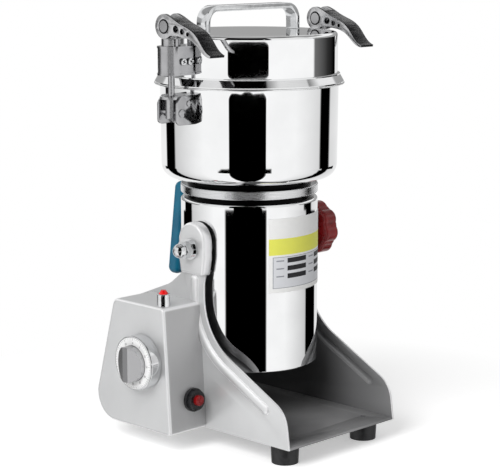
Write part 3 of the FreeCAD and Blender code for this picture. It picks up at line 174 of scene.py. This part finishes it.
finishes = {
    "polished_steel": {
        "dark": (0.88, 0.885, 0.89), "light": (0.94, 0.945, 0.95), "metallic": 1.0,
        "rough": (0.008, 0.020), "size": 0.03, "stretch": (1, 1, 1), "depth": 0.0},
    "brushed_band": {
        "dark": (0.60, 0.61, 0.62), "light": (0.80, 0.80, 0.81), "metallic": 1.0,
        "rough": (0.12, 0.26), "size": 0.012, "stretch": (1, 1, 60), "depth": 0.00002},
    "ring_steel": {
        "dark": (0.78, 0.785, 0.79), "light": (0.87, 0.875, 0.88), "metallic": 1.0,
        "rough": (0.05, 0.09), "size": 0.012, "stretch": (1, 1, 60), "depth": 0.0},
    "bright_steel": {
        "dark": (0.70, 0.71, 0.72), "light": (0.86, 0.87, 0.88), "metallic": 1.0,
        "rough": (0.07, 0.16), "size": 0.006, "stretch": (1, 1, 1), "depth": 0.00001},
    "blade_steel": {
        "dark": (0.50, 0.51, 0.52), "light": (0.74, 0.75, 0.76), "metallic": 1.0,
        "rough": (0.16, 0.30), "size": 0.010, "stretch": (1, 18, 1), "depth": 0.00002},
    "black_rubber": {
        "dark": (0.010, 0.010, 0.011), "light": (0.028, 0.028, 0.030), "metallic": 0.0,
        "rough": (0.42, 0.62), "size": 0.004, "stretch": (1, 1, 1), "depth": 0.00004},
    "white_silicone": {
        "dark": (0.72, 0.72, 0.70), "light": (0.84, 0.84, 0.82), "metallic": 0.0,
        "rough": (0.35, 0.50), "size": 0.008, "stretch": (1, 1, 1), "depth": 0.00002},
    "black_plastic": {
        "dark": (0.008, 0.008, 0.009), "light": (0.022, 0.022, 0.024), "metallic": 0.0,
        "rough": (0.22, 0.38), "size": 0.003, "stretch": (1, 1, 1), "depth": 0.00002},
    "white_nylon": {
        "dark": (0.70, 0.70, 0.67), "light": (0.84, 0.84, 0.80), "metallic": 0.0,
        "rough": (0.35, 0.50), "size": 0.006, "stretch": (1, 1, 1), "depth": 0.00002},
    "red_plastic": {
        "dark": (0.17, 0.003, 0.004), "light": (0.28, 0.006, 0.008), "metallic": 0.0,
        "rough": (0.20, 0.34), "size": 0.010, "stretch": (1, 1, 1), "depth": 0.00003},
    "red_lens": {
        "dark": (0.62, 0.004, 0.006), "light": (0.85, 0.015, 0.015), "metallic": 0.0,
        "rough": (0.04, 0.12), "size": 0.004, "stretch": (1, 1, 1), "depth": 0.00001},
    "teal_plastic": {
        "dark": (0.0, 0.095, 0.175), "light": (0.003, 0.135, 0.225), "metallic": 0.0,
        "rough": (0.30, 0.45), "size": 0.012, "stretch": (1, 1, 1), "depth": 0.00004},
    "chrome_knob": {
        "dark": (0.72, 0.72, 0.73), "light": (0.84, 0.85, 0.86), "metallic": 1.0,
        "rough": (0.05, 0.12), "size": 0.010, "stretch": (1, 1, 1), "depth": 0.0},
    "cast_aluminium": {
        "dark": (0.45, 0.45, 0.46), "light": (0.66, 0.66, 0.67), "metallic": 1.0,
        "rough": (0.35, 0.55), "size": 0.004, "stretch": (1, 1, 1), "depth": 0.00008},
    "core_steel": {
        "dark": (0.16, 0.16, 0.17), "light": (0.34, 0.34, 0.35), "metallic": 1.0,
        "rough": (0.30, 0.50), "size": 0.010, "stretch": (1, 1, 40), "depth": 0.00005},
    "copper_winding": {
        "dark": (0.30, 0.07, 0.02), "light": (0.62, 0.22, 0.08), "metallic": 1.0,
        "rough": (0.20, 0.36), "size": 0.010, "stretch": (1, 1, 20), "depth": 0.00020},
    "copper_bars": {
        "dark": (0.62, 0.26, 0.12), "light": (0.85, 0.45, 0.26), "metallic": 1.0,
        "rough": (0.14, 0.26), "size": 0.010, "stretch": (1, 1, 30), "depth": 0.00002},
    "carbon": {
        "dark": (0.012, 0.012, 0.012), "light": (0.035, 0.035, 0.036), "metallic": 0.0,
        "rough": (0.45, 0.65), "size": 0.002, "stretch": (1, 1, 1), "depth": 0.00003},
    "satin_sheet": {
        "dark": (0.64, 0.645, 0.65), "light": (0.71, 0.715, 0.72), "metallic": 0.50,
        "rough": (0.30, 0.38), "size": 0.050, "stretch": (1, 1, 1), "depth": 0.0},
    # the tray sheet is darker than the outer sheet: painted shade for the inside of the tray
    "tray_sheet": {
        "dark": (0.24, 0.24, 0.245), "light": (0.40, 0.40, 0.405), "metallic": 0.5,
        "rough": (0.34, 0.46), "size": 0.060, "stretch": (1, 1, 1), "depth": 0.0},
    "cast_latch": {
        "dark": (0.55, 0.55, 0.56), "light": (0.76, 0.76, 0.77), "metallic": 1.0,
        "rough": (0.14, 0.28), "size": 0.003, "stretch": (1, 1, 1), "depth": 0.00006},
    "latch_satin": {
        "dark": (0.40, 0.40, 0.41), "light": (0.52, 0.52, 0.53), "metallic": 1.0,
        "rough": (0.15, 0.21), "size": 0.020, "stretch": (1, 1, 1), "depth": 0.0},
    "dial_print": {
        "dark": (0.010, 0.010, 0.012), "light": (0.04, 0.04, 0.045), "metallic": 0.0,
        "rough": (0.40, 0.55), "size": 0.002, "stretch": (1, 1, 1), "depth": 0.0},
    "dial_white": {
        "dark": (0.80, 0.80, 0.80), "light": (0.90, 0.90, 0.90), "metallic": 0.0,
        "rough": (0.28, 0.42), "size": 0.006, "stretch": (1, 1, 1), "depth": 0.00001},
}

# How much of the grain's range turns the colour and the roughness, and the finer grain of the bump
grainUse = {"colour": (0.32, 0.68), "rough": (0.3, 0.7), "fineShare": 0.3, "fineDetail": 4.0}


def makeFinish(finish, name):
    look = finishes[finish]
    material = bpy.data.materials.new(name)
    material.use_nodes = True
    tree = material.node_tree
    shader = tree.nodes["Principled BSDF"]
    shader.inputs["Metallic"].default_value = look["metallic"]
    spots = grain(tree, look["size"], look["stretch"])
    darkAt, lightAt = grainUse["colour"]
    colour = colourRamp(tree, spots, ((darkAt, look["dark"]), (lightAt, look["light"])))
    tree.links.new(colour, shader.inputs["Base Color"])
    rough = spread(tree, spots, *grainUse["rough"], *look["rough"])
    tree.links.new(rough, shader.inputs["Roughness"])
    if look["depth"] > 0:
        fine = grain(tree, look["size"] * grainUse["fineShare"], look["stretch"], grainUse["fineDetail"])
        addBump(tree, fine, look["depth"])
    return material


def openColour(material):
    # the material's tree, its colour input, and the colour that it shows so far
    tree = material.node_tree
    socket = tree.nodes["Principled BSDF"].inputs["Base Color"]
    return tree, socket, socket.links[0].from_socket


materials = {name: makeFinish(name, name) for name in finishes}


# Painted sheet gets a painted highlight along its rounded corners, and painted shade on the faces to the
# front.
# A turn, here and below, is the range of the face's normal in which a colour comes in
sheetLightLook = {
    # the corner colour is a painted highlight, and the front colour is a painted shade
    "corner": (0.98, 0.98, 0.99), "highlightTurn": (0.02, 0.16),
    "paintedFrontShade": (0.50, 0.50, 0.505), "frontTurn": (-0.70, -0.97),
}


def makeSheet(name):
    look = sheetLightLook
    material = makeFinish("satin_sheet", name)
    tree, socket, flat = openColour(material)
    normal = coordinates(tree, "Normal")
    # painted shade on the faces turned to the front
    frontLightingMask = spread(tree, normal[1], *look["frontTurn"], 0.0, 1.0)
    flat = mixColour(tree, frontLightingMask, flat, look["paintedFrontShade"])
    sides = [maths(tree, "ABSOLUTE", value) for value in normal]
    most = maths(tree, "MAXIMUM", maths(tree, "MAXIMUM", sides[0], sides[1]), sides[2])
    # painted highlight on the rounded corners, where the normal is turned away from every axis
    corner = spread(tree, maths(tree, "SUBTRACT", 1.0, most), *look["highlightTurn"], 0.0, 1.0)
    tree.links.new(mixColour(tree, corner, flat, look["corner"]), socket)
    return material


materials["painted_box"] = makeSheet("painted_box")


# The cheeks get painted shade on their inside faces, lighter toward the front, and a painted highlight
# along their cut edges
cheekLightLook = {
    # the inside colours are painted shade, and the edge colour is a painted highlight
    "insideBackShade": (0.11, 0.11, 0.113), "insideFrontShade": (0.36, 0.36, 0.365), "insideTurn": 0.5,
    "lightFrom": -0.01, "lightTo": -0.105, "edge": (0.95, 0.95, 0.96), "edgeHighlightTurn": 0.35,
}


def makeCheek(name, inward):
    # inward is the x direction that the cheek's inside faces
    look = cheekLightLook
    material = makeSheet(name)
    tree, socket, outside = openColour(material)
    x, y, z = coordinates(tree, "Object")
    # painted shade inside the cheek, lighter toward the front
    frontLightingMask = spread(tree, y, look["lightTo"], look["lightFrom"], 1.0, 0.0)
    inside = mixColour(tree, frontLightingMask, look["insideBackShade"], look["insideFrontShade"])
    sideways = coordinates(tree, "Normal")[0]
    facesIn = maths(tree, "GREATER_THAN", maths(tree, "MULTIPLY", sideways, inward), look["insideTurn"])
    # painted highlight on the cut edges, the faces turned away from x
    edgeHighlight = maths(tree, "LESS_THAN", maths(tree, "ABSOLUTE", sideways), look["edgeHighlightTurn"])
    faces = mixColour(tree, facesIn, outside, inside)
    tree.links.new(mixColour(tree, edgeHighlight, faces, look["edge"]), socket)
    return material


for side, inward in (("left", 1.0), ("right", -1.0)):
    materials[side + "_cheek_sheet"] = makeCheek(side + "_cheek_sheet", inward)


# The cam levers are bright at the sides, dark and grainy on top, and have a dark ring of painted shade
# round the pin
leverLook = {
    "topStops": ((0.35, (0.008, 0.008, 0.009)), (0.65, (0.05, 0.05, 0.053))), "topTurn": (0.4, 0.7),
    "grain": 0.0009, "grainDetail": 2.0, "depth": 0.0003,
    # the ring colour is painted shade round the pin
    "ringInside": 0.0040, "ringOutside": 0.0060, "ring": (0.03, 0.03, 0.032),
}
leverPin = next(joint["pos_m"] for joint in frame["record"]["behaviour"]["joints"]
                if joint["name"] == "left_lever_turn")


def makeLever():
    look = leverLook
    material = makeFinish("cast_latch", "cast_lever")
    tree, socket, side = openColour(material)
    spots = grain(tree, look["grain"], detail=look["grainDetail"])
    top = colourRamp(tree, spots, look["topStops"])
    across = maths(tree, "ABSOLUTE", coordinates(tree, "Normal")[0])
    onTop = spread(tree, across, *look["topTurn"], 1.0, 0.0)
    x, y, z = coordinates(tree, "Object")
    away = [maths(tree, "SUBTRACT", value, middle) for value, middle in zip((y, z), leverPin[1:])]
    middle = (look["ringInside"] + look["ringOutside"]) / 2
    half = (look["ringOutside"] - look["ringInside"]) / 2
    # painted shade: a dark ring round the pin
    ring = maths(tree, "COMPARE", distance(tree, *away), middle, half)
    shown = mixColour(tree, onTop, side, top)
    tree.links.new(mixColour(tree, ring, shown, look["ring"]), socket)
    addBump(tree, maths(tree, "MULTIPLY", spots, onTop), look["depth"])
    return material


materials["cast_lever"] = makeLever()


# The neck's brushed band is bright, and the grooves above and below it are black with painted shade
neckLook = {"bandRadius": 0.0580, "grooveShade": (0.004, 0.004, 0.004)}


def makeNeck():
    material = makeFinish("brushed_band", "neck_band")
    tree, socket, bright = openColour(material)
    x, y, z = coordinates(tree, "Object")
    # painted shade in the grooves, inside the band's radius
    inGroove = maths(tree, "LESS_THAN", distance(tree, x, y), neckLook["bandRadius"])
    tree.links.new(mixColour(tree, inGroove, bright, neckLook["grooveShade"]), socket)
    return material


materials["neck_band"] = makeNeck()


# The timer knob's grip is satin and darker than its skirt, with painted light on the faces to the front
# and painted shade on those to the back
knobLook = {
    "gripRadius": 0.0152, "gripRough": 0.24, "gripShadeTurn": (-0.3, 0.3),
    "gripLitFront": (0.52, 0.52, 0.53), "gripShadedBack": (0.13, 0.13, 0.135),
}
knobLow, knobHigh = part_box("timer_knob")
knobCentre = (knobLow + knobHigh) / 2


def makeKnob():
    look = knobLook
    material = makeFinish("chrome_knob", "timer_chrome")
    tree, socket, skirt = openColour(material)
    x, y, z = coordinates(tree, "Object")
    away = [maths(tree, "SUBTRACT", value, middle) for value, middle in zip((y, z), knobCentre[1:])]
    inGrip = maths(tree, "LESS_THAN", distance(tree, *away), look["gripRadius"])
    # painted light and shade on the grip, by which way its faces turn
    shadeToBack = spread(tree, coordinates(tree, "Normal")[1], *look["gripShadeTurn"], 0.0, 1.0)
    grip = mixColour(tree, shadeToBack, look["gripLitFront"], look["gripShadedBack"])
    tree.links.new(mixColour(tree, inGrip, skirt, grip), socket)
    roughness = tree.nodes["Principled BSDF"].inputs["Roughness"]
    rough = roughness.links[0].from_socket
    tree.links.new(spread(tree, inGrip, 0.0, 1.0, rough, look["gripRough"]), roughness)
    return material


materials["timer_chrome"] = makeKnob()


# Generic rating plate: a bare white top, a yellow band and a grey panel with black bars.
# Places and heights are shares of the plate
plateLook = {
    "white": (0.86, 0.86, 0.85), "yellow": (0.80, 0.80, 0.12), "grey": (0.70, 0.71, 0.74),
    "line": (0.30, 0.31, 0.34), "black": (0.012, 0.012, 0.014),
    "roughness": 0.5, "shine": 0.25, "wear": 0.03, "wearSize": 0.004,
    "startDegrees": -119.0, "endDegrees": -40.0,
    "bandTop": 0.73, "bandBottom": 0.51, "panelTop": 0.485, "panelBottom": 0.06,
    "panelLeft": 0.04, "panelRight": 0.96, "lineWidth": 0.008,
    "barRows": (0.43, 0.325, 0.22), "barHeight": 0.065,
    "barColumns": ((0.21, 0.48), (0.66, 0.92)), "labelColumns": ((0.08, 0.17), (0.53, 0.63)),
    "labelHeight": 0.018,
}


def insideBox(tree, across, up, left, right, low, high):
    inWidth = maths(tree, "COMPARE", across, (left + right) / 2, (right - left) / 2)
    inHeight = maths(tree, "COMPARE", up, (low + high) / 2, (high - low) / 2)
    return maths(tree, "MULTIPLY", inWidth, inHeight)


def makePlate():
    look = plateLook
    low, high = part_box("rating_plate")
    material = bpy.data.materials.new("plate_print")
    material.use_nodes = True
    tree = material.node_tree
    shader = tree.nodes["Principled BSDF"]
    shader.inputs["Roughness"].default_value = look["roughness"]
    shader.inputs["Specular IOR Level"].default_value = look["shine"]
    x, y, z = coordinates(tree, "Object")
    angle = maths(tree, "ARCTAN2", y, x)
    start, end = math.radians(look["startDegrees"]), math.radians(look["endDegrees"])
    across = spread(tree, angle, start, end, 0.0, 1.0)
    up = spread(tree, z, low[2], high[2], 0.0, 1.0)
    band = insideBox(tree, across, up, -1.0, 2.0, look["bandBottom"], look["bandTop"])
    colour = mixColour(tree, band, look["white"], look["yellow"])
    width = look["lineWidth"]
    for grow, tone in ((0.0, "line"), (-width, "grey")):
        panel = insideBox(tree, across, up, look["panelLeft"] - grow, look["panelRight"] + grow,
                          look["panelBottom"] - grow, look["panelTop"] + grow)
        colour = mixColour(tree, panel, colour, look[tone])
    bars = [(left, right, row, look["barHeight"], "black")
            for left, right in look["barColumns"] for row in look["barRows"]]
    bars += [(left, right, row, look["labelHeight"], "line")
             for left, right in look["labelColumns"] for row in look["barRows"]]
    for left, right, row, tall, tone in bars:
        mask = insideBox(tree, across, up, left, right, row - tall / 2, row + tall / 2)
        colour = mixColour(tree, mask, colour, look[tone])
    spots = grain(tree, look["wearSize"])
    worn = spread(tree, spots, *grainUse["rough"], 0.0, look["wear"])
    tree.links.new(mixColour(tree, worn, colour, look["line"]), shader.inputs["Base Color"])
    return material


materials["plate_print"] = makePlate()
print("materials ready:", len(materials))


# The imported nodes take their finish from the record's slots

ownMaterial = {
    "left_cheek": "left_cheek_sheet", "right_cheek": "right_cheek_sheet",
    "left_cam_lever": "cast_lever", "right_cam_lever": "cast_lever", "neck_collar": "neck_band",
    "control_box": "painted_box", "timer_knob": "timer_chrome",
    "lid_rim": "ring_steel", "bowl_flange": "ring_steel",
}
for side in ("left", "right"):
    for part in ("_latch_keeper", "_latch_rod", "_latch_shoe"):
        ownMaterial[side + part] = "latch_satin"
slotOf = {part["node"]: part["material_slot"] for part in frame["record"]["subparts"]}


def materialFor(node):
    return materials[ownMaterial.get(node, slotOf[node])]


for node, thing in frame["nodes"].items():
    for holder in thing.material_slots:
        holder.material = materialFor(node)
print("nodes dressed")


# Modelling helpers

def deselectAll():
    bpy.ops.object.select_all(action="DESELECT")


def focus(thing):
    deselectAll()
    thing.select_set(True)
    bpy.context.view_layer.objects.active = thing


def nameIt(thing, name, material, body):
    thing.name = name
    thing.data.name = name
    thing.data.materials.clear()
    thing.data.materials.append(materials[material])
    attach(thing, body)


def settle(thing):
    # the place goes into the mesh, so the object stays at the origin
    focus(thing)
    bpy.ops.object.transform_apply(location=True, rotation=True, scale=True)


def applyModifier(thing, kind, **settings):
    modifier = thing.modifiers.new(kind.lower(), kind)
    for name, value in settings.items():
        setattr(modifier, name, value)
    focus(thing)
    bpy.ops.object.modifier_apply(modifier=modifier.name)


def smooth(thing, degrees):
    focus(thing)
    bpy.ops.object.shade_smooth_by_angle(angle=math.radians(degrees))


def joinAll(things):
    deselectAll()
    for thing in things:
        thing.select_set(True)
    bpy.context.view_layer.objects.active = things[0]
    bpy.ops.object.join()
    return bpy.context.view_layer.objects.active


# Sheet and cast pieces get a copy with small rounded edges, in mm, which catch the light

edgeRounds = {
    "left_cheek": 0.35, "right_cheek": 0.35, "tray_floor": 0.35, "rear_wall": 0.35,
    "left_latch_keeper": 0.25, "right_latch_keeper": 0.25,
    "left_cam_lever": 0.4, "right_cam_lever": 0.4,
    "lid_handle": 0.7, "grip_strap": 0.3,
}
roundSettings = {
    "mergeWithin": 0.005, "flatDegrees": 0.5, "edgeDegrees": 38, "smoothDegrees": 32, "segments": 2,
}
bodyOf = {node: body for body, members in frame["record"]["behaviour"]["bodies"].items()
          for node in members}


def roundedCopy(node, radius):
    look = roundSettings
    source = frame["nodes"][node]
    piece = source.copy()
    piece.data = source.data.copy()
    piece.parent = None
    scene.collection.objects.link(piece)
    piece.name = node + "_rounded"
    focus(piece)
    bpy.ops.mesh.customdata_custom_splitnormals_clear()
    bpy.ops.object.mode_set(mode="EDIT")
    bpy.ops.mesh.select_all(action="SELECT")
    bpy.ops.mesh.remove_doubles(threshold=look["mergeWithin"] * mm)
    bpy.ops.mesh.dissolve_limited(angle_limit=math.radians(look["flatDegrees"]))
    bpy.ops.object.mode_set(mode="OBJECT")
    applyModifier(piece, "BEVEL", width=radius * mm, segments=look["segments"],
                  limit_method="ANGLE", angle_limit=math.radians(look["edgeDegrees"]),
                  use_clamp_overlap=True, harden_normals=False)
    smooth(piece, look["smoothDegrees"])
    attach(piece, bodyOf[node])
    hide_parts(node)


for node, radius in edgeRounds.items():
    roundedCopy(node, radius)
print("edges rounded:", len(edgeRounds))


# Scale ring on the timer knob, with graduations and plain numbers. The knob's skirt starts skirtLift
# from the control box, and the ring lies on its face

dialScale = {
    "skirtLift": 0.5, "skirtDepth": 10.7, "outer": 21.7, "inner": 15.3, "thickness": 0.25,
    "sides": 128, "edge": 0.06, "ticks": 60, "longEvery": 5, "tickLength": 1.1, "longTickLength": 1.9,
    "tickWidth": 0.22, "tickHeight": 0.12, "tickMargin": 0.3,
    "numbers": 12, "numberStep": 5, "numberSize": 2.3, "numberHeight": 0.05, "numberRadius": 17.3,
}
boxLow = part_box("control_box")[0]
dialFace = boxLow.x - (dialScale["skirtLift"] + dialScale["skirtDepth"]) * mm


def makeDialRing():
    look = dialScale
    bpy.ops.mesh.primitive_circle_add(
        vertices=look["sides"], radius=look["outer"] * mm, fill_type="NGON",
        location=(dialFace, knobCentre.y, knobCentre.z), rotation=(0, -math.pi / 2, 0))
    ring = bpy.context.object
    settle(ring)
    bpy.ops.object.mode_set(mode="EDIT")
    bpy.ops.mesh.select_all(action="SELECT")
    bpy.ops.mesh.inset(thickness=(look["outer"] - look["inner"]) * mm)
    bpy.ops.mesh.delete(type="FACE")
    bpy.ops.object.mode_set(mode="OBJECT")
    applyModifier(ring, "SOLIDIFY", thickness=look["thickness"] * mm, offset=1.0)
    applyModifier(ring, "BEVEL", width=look["edge"] * mm, segments=2, limit_method="ANGLE")
    smooth(ring, 30)
    nameIt(ring, "dial_scale_ring", "dial_white", "timer_dial")


def addBlock(place, turn, sizes):
    # a small block with its sizes in mm, turned about its own middle
    bpy.ops.mesh.primitive_cube_add(size=1.0, location=place, rotation=turn)
    block = bpy.context.object
    block.scale = [size * mm for size in sizes]
    settle(block)
    return block


def onDial(angle, radius):
    # a place on the ring's face, clockwise from the top as seen from the left
    reach = radius * mm
    face = dialFace - dialScale["thickness"] * mm
    return (face, knobCentre.y - reach * math.sin(angle), knobCentre.z + reach * math.cos(angle))


def makeDialMarks():
    look = dialScale
    things = []
    for i in range(look["ticks"]):
        angle = 2 * math.pi * i / look["ticks"]
        isLong = i % look["longEvery"] == 0
        length = look["longTickLength"] if isLong else look["tickLength"]
        place = onDial(angle, look["outer"] - look["tickMargin"] - length / 2)
        things.append(addBlock(place, (angle, 0, 0), (look["tickHeight"], look["tickWidth"], length)))
    outward = Euler((math.pi / 2, 0, -math.pi / 2)).to_matrix()
    for i in range(look["numbers"]):
        angle = 2 * math.pi * i / look["numbers"]
        bpy.ops.object.text_add(location=onDial(angle, look["numberRadius"]))
        number = bpy.context.object
        number.data.body = str(i * look["numberStep"])
        number.data.size = look["numberSize"] * mm
        number.data.align_x = "CENTER"
        number.data.align_y = "CENTER"
        number.data.extrude = look["numberHeight"] * mm
        number.rotation_euler = (outward @ Matrix.Rotation(-angle, 3, "Z")).to_euler()
        focus(number)
        bpy.ops.object.convert(target="MESH")
        settle(number)
        things.append(number)
    marks = joinAll(things)
    nameIt(marks, "dial_marks", "dial_print", "timer_dial")


makeDialRing()
makeDialMarks()
print("dial scale made")


# Two cross-headed screws on the front flange of each latch shoe; their cross recesses are thin black
# blocks of painted shade

shoeScrew = {
    "radius": 3.0, "height": 1.5, "edge": 0.45, "sides": 32, "rise": 11.0, "reaches": (87.4, 79.6),
    "slotLength": 3.4, "slotWidth": 0.8, "slotHeight": 0.08, "slotDegrees": (25, 115),
}


def makeShoeScrews(side, sideName):
    look = shoeScrew
    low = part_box(sideName + "_latch_shoe")[0]
    height = look["height"] * mm
    heads = []
    slots = []
    for reach in look["reaches"]:
        x, y, z = side * reach * mm, low.y, low.z + look["rise"] * mm
        bpy.ops.mesh.primitive_cylinder_add(
            vertices=look["sides"], radius=look["radius"] * mm, depth=height,
            location=(x, y - height / 2, z), rotation=(math.pi / 2, 0, 0))
        head = bpy.context.object
        settle(head)
        applyModifier(head, "BEVEL", width=look["edge"] * mm, segments=4, limit_method="ANGLE")
        heads.append(head)
        # thin black blocks in the cross recess: painted shade
        for degrees in look["slotDegrees"]:
            slotSizes = (look["slotLength"], look["slotHeight"], look["slotWidth"])
            slots.append(addBlock((x, y - height, z), (0, math.radians(degrees), 0), slotSizes))
    head = joinAll(heads)
    smooth(head, 35)
    nameIt(head, sideName + "_shoe_screws", "bright_steel", sideName + "_latch")
    crossShade = joinAll(slots)
    nameIt(crossShade, sideName + "_screw_cross_shade", "dial_print", sideName + "_latch")


for side, sideName in ((-1, "left"), (1, "right")):
    makeShoeScrews(side, sideName)
print("latch screws made")


# Floor, lamps and world

studio = {
    "floorSize": 3.0, "floorCells": 8, "floorNear": 0.16, "floorFar": 0.36, "floorRough": 0.9,
    "floorColour": (0.92, 0.92, 0.92), "floorLift": 0.38, "lampAim": (0, 0, 0.15),
    "cameraAzimuth": -135.17, "plainLevel": 0.38, "splitBlur": 0.0005, "cardBlur": 0.08,
}
# reflection bands: degrees to the right of the camera, and how bright the studio is there
housingBands = (
    (-180, 0.85), (-146, 0.85), (-144, 0.0), (-113, 0.0), (-111, 0.6), (-62, 1.0), (-41.3, 1.0),
    (-40.3, 0.0), (28, 0.0), (29, 1.0), (62, 1.0), (109, 0.6), (111, 0.0), (144, 0.0), (146, 0.85),
    (180, 0.85))
bowlBands = (
    (-180, 0.9), (-138, 0.9), (-136, 0.0), (-113.5, 0.0), (-111.5, 0.62), (-62, 1.0),
    (62, 1.0), (103, 0.72), (105, 0.0), (126, 0.0), (129, 0.75), (180, 0.9))
bowlFootBands = (
    *bowlBands[:6], (-26.5, 1.0), (-25.5, 0.0), (21, 0.0), (22, 1.0), *bowlBands[6:])
lidBands = (
    (-180, 0.7), (-158, 0.9), (-156, 0.0), (-122, 0.0), (-94, 0.12), (-92, 1.0),
    (91, 1.0), (93.5, 0.16), (122, 0.03), (142, 0.0), (147, 0.0), (150, 0.9), (180, 0.7))
skyBands = (
    (-180, 0.5), (-120, 0.6), (-75, 0.8), (-34, 0.9), (-32, 0.0),
    (27, 0.0), (29, 0.9), (75, 0.8), (120, 0.6), (180, 0.5))
# the sky behind the mill, by height: grey, a bright strip, a dark one, and grey overhead
backBands = ((0.0, 0.36), (0.28, 0.40), (0.32, 0.95), (0.52, 0.95), (0.60, 0.30), (1.0, 0.42))
# the front sky turns black between the first two heights, and grey overhead between the other two
skyTop = {"black": (0.76, 0.80), "grey": (0.90, 0.95), "greyLevel": 0.42}
# degrees above level where each of these takes over from the one below; the bowl's foot is lowest
splits = {"housing": -15.2, "bowl": -9.35, "lid": -5.055, "sky": -1.0}
# dark cards with round corners, seen in the bowl and the lid: degrees right and up, and half sizes
darkCards = {
    "lid": {"across": -1.4, "up": -4.36, "halfAcross": 26.2, "halfUp": 0.62,
            "roundAcross": 7.0, "roundUp": 0.18},
    "bowl": {"across": -2.3, "up": -8.7, "halfAcross": 23.8, "halfUp": 1.8,
             "roundAcross": 6.0, "roundUp": 0.30},
}
lampSettings = {
    "key": {"place": (-1.3, -0.35, 1.1), "size": 0.9, "power": 21.0},
    "fill": {"place": (0.6, -1.3, 1.0), "size": 1.2, "power": 1.0},
}


def makeFloor():
    cells = studio["floorCells"]
    bpy.ops.mesh.primitive_grid_add(x_subdivisions=cells, y_subdivisions=cells, size=studio["floorSize"])
    floor = bpy.context.object
    floor.name = "floor"
    material = bpy.data.materials.new("pale_floor")
    material.use_nodes = True
    tree = material.node_tree
    shader = tree.nodes["Principled BSDF"]
    shader.inputs["Roughness"].default_value = studio["floorRough"]
    shader.inputs["Specular IOR Level"].default_value = 0.0
    shader.inputs["Base Color"].default_value = (*studio["floorColour"], 1.0)
    x, y, z = coordinates(tree, "Object")
    far = spread(tree, distance(tree, x, y), studio["floorNear"], studio["floorFar"], 0.0, 1.0)
    path = addNode(tree, "LightPath")
    seen = maths(tree, "MAXIMUM", path.outputs["Is Camera Ray"], path.outputs["Is Glossy Ray"])
    seen = maths(tree, "MAXIMUM", seen, path.outputs["Is Transmission Ray"])
    glow = addNode(tree, "Emission")
    lift = addNode(tree, "Emission")
    tree.links.new(maths(tree, "MULTIPLY", seen, studio["floorLift"]), lift.inputs["Strength"])
    lifted = addNode(tree, "AddShader")
    tree.links.new(shader.outputs[0], lifted.inputs[0])
    tree.links.new(lift.outputs[0], lifted.inputs[1])
    mix = addNode(tree, "MixShader")
    tree.links.new(maths(tree, "MULTIPLY", far, seen), mix.inputs[0])
    tree.links.new(lifted.outputs[0], mix.inputs[1])
    tree.links.new(glow.outputs[0], mix.inputs[2])
    tree.links.new(mix.outputs[0], tree.nodes["Material Output"].inputs["Surface"])
    floor.data.materials.append(material)
    floor.visible_glossy = False


def makeLamps():
    for name, look in lampSettings.items():
        data = bpy.data.lights.new(name, "AREA")
        data.shape = "SQUARE"
        data.size = look["size"]
        data.energy = look["power"]
        lamp = bpy.data.objects.new(name, data)
        lamp.location = look["place"]
        aim = Vector(studio["lampAim"]) - Vector(look["place"])
        lamp.rotation_euler = aim.to_track_quat("-Z", "Y").to_euler()
        lamp.visible_glossy = False
        scene.collection.objects.link(lamp)


def grey(level):
    return (level, level, level)


def greyStops(bands, low=-180, high=180):
    # a ramp's places run from 0 to 1
    return [((place - low) / (high - low), grey(level)) for place, level in bands]


def above(tree, z, split):
    edge = math.sin(math.radians(splits[split]))
    return spread(tree, z, edge - studio["splitBlur"], edge + studio["splitBlur"], 0.0, 1.0)


def darkCard(tree, colour, right, z, card):
    parts = []
    for value, middle, half, corner in (
            (right, card["across"], card["halfAcross"], card["roundAcross"]),
            (maths(tree, "ARCSINE", z), card["up"], card["halfUp"], card["roundUp"])):
        away = maths(tree, "ABSOLUTE", maths(tree, "SUBTRACT", value, math.radians(middle)))
        past = maths(tree, "SUBTRACT", away, math.radians(half - corner))
        share = maths(tree, "DIVIDE", maths(tree, "MAXIMUM", past, 0.0), math.radians(corner))
        parts.append(maths(tree, "MULTIPLY", share, share))
    blur = studio["cardBlur"]
    outside = spread(tree, maths(tree, "ADD", *parts), 1 - blur, 1 + blur, 0.0, 1.0)
    return mixColour(tree, outside, grey(0.0), colour)


def makeWorld():
    world = bpy.data.worlds.new("studio_world")
    scene.world = world
    world.use_nodes = True
    tree = world.node_tree
    direction = addNode(tree, "TexCoord")
    turn = addNode(tree, "Mapping")
    turn.inputs["Rotation"].default_value = (0, 0, -math.radians(studio["cameraAzimuth"]))
    tree.links.new(direction.outputs["Generated"], turn.inputs["Vector"])
    split = addNode(tree, "SeparateXYZ")
    tree.links.new(turn.outputs[0], split.inputs[0])
    x, y, z = split.outputs
    right = maths(tree, "ARCTAN2", y, x)
    along = maths(tree, "MULTIPLY_ADD", right, 0.5 / math.pi, 0.5)
    bowlFoot, housing, bowl, lid, front = [
        colourRamp(tree, along, greyStops(bands))
        for bands in (bowlFootBands, housingBands, bowlBands, lidBands, skyBands)]
    bowl = darkCard(tree, bowl, right, z, darkCards["bowl"])
    lid = darkCard(tree, lid, right, z, darkCards["lid"])
    front = mixColour(tree, spread(tree, z, *skyTop["black"], 0.0, 1.0), front, grey(0.0))
    front = mixColour(tree, spread(tree, z, *skyTop["grey"], 0.0, 1.0), front, grey(skyTop["greyLevel"]))
    back = colourRamp(tree, z, greyStops(backBands, 0, 1))
    sky = mixColour(tree, maths(tree, "GREATER_THAN", x, 0.0), back, front)
    shown = bowlFoot
    for name, higher in (("housing", housing), ("bowl", bowl), ("lid", lid), ("sky", sky)):
        shown = mixColour(tree, above(tree, z, name), shown, higher)
    path = addNode(tree, "LightPath")
    colour = mixColour(tree, path.outputs["Is Glossy Ray"], grey(studio["plainLevel"]), shown)
    clear = maths(tree, "MAXIMUM", path.outputs["Is Camera Ray"], path.outputs["Is Transmission Ray"])
    colour = mixColour(tree, clear, colour, grey(1.0))
    tree.links.new(colour, tree.nodes["Background"].inputs["Color"])


makeFloor()
makeLamps()
makeWorld()
print("studio ready")

deselectAll()
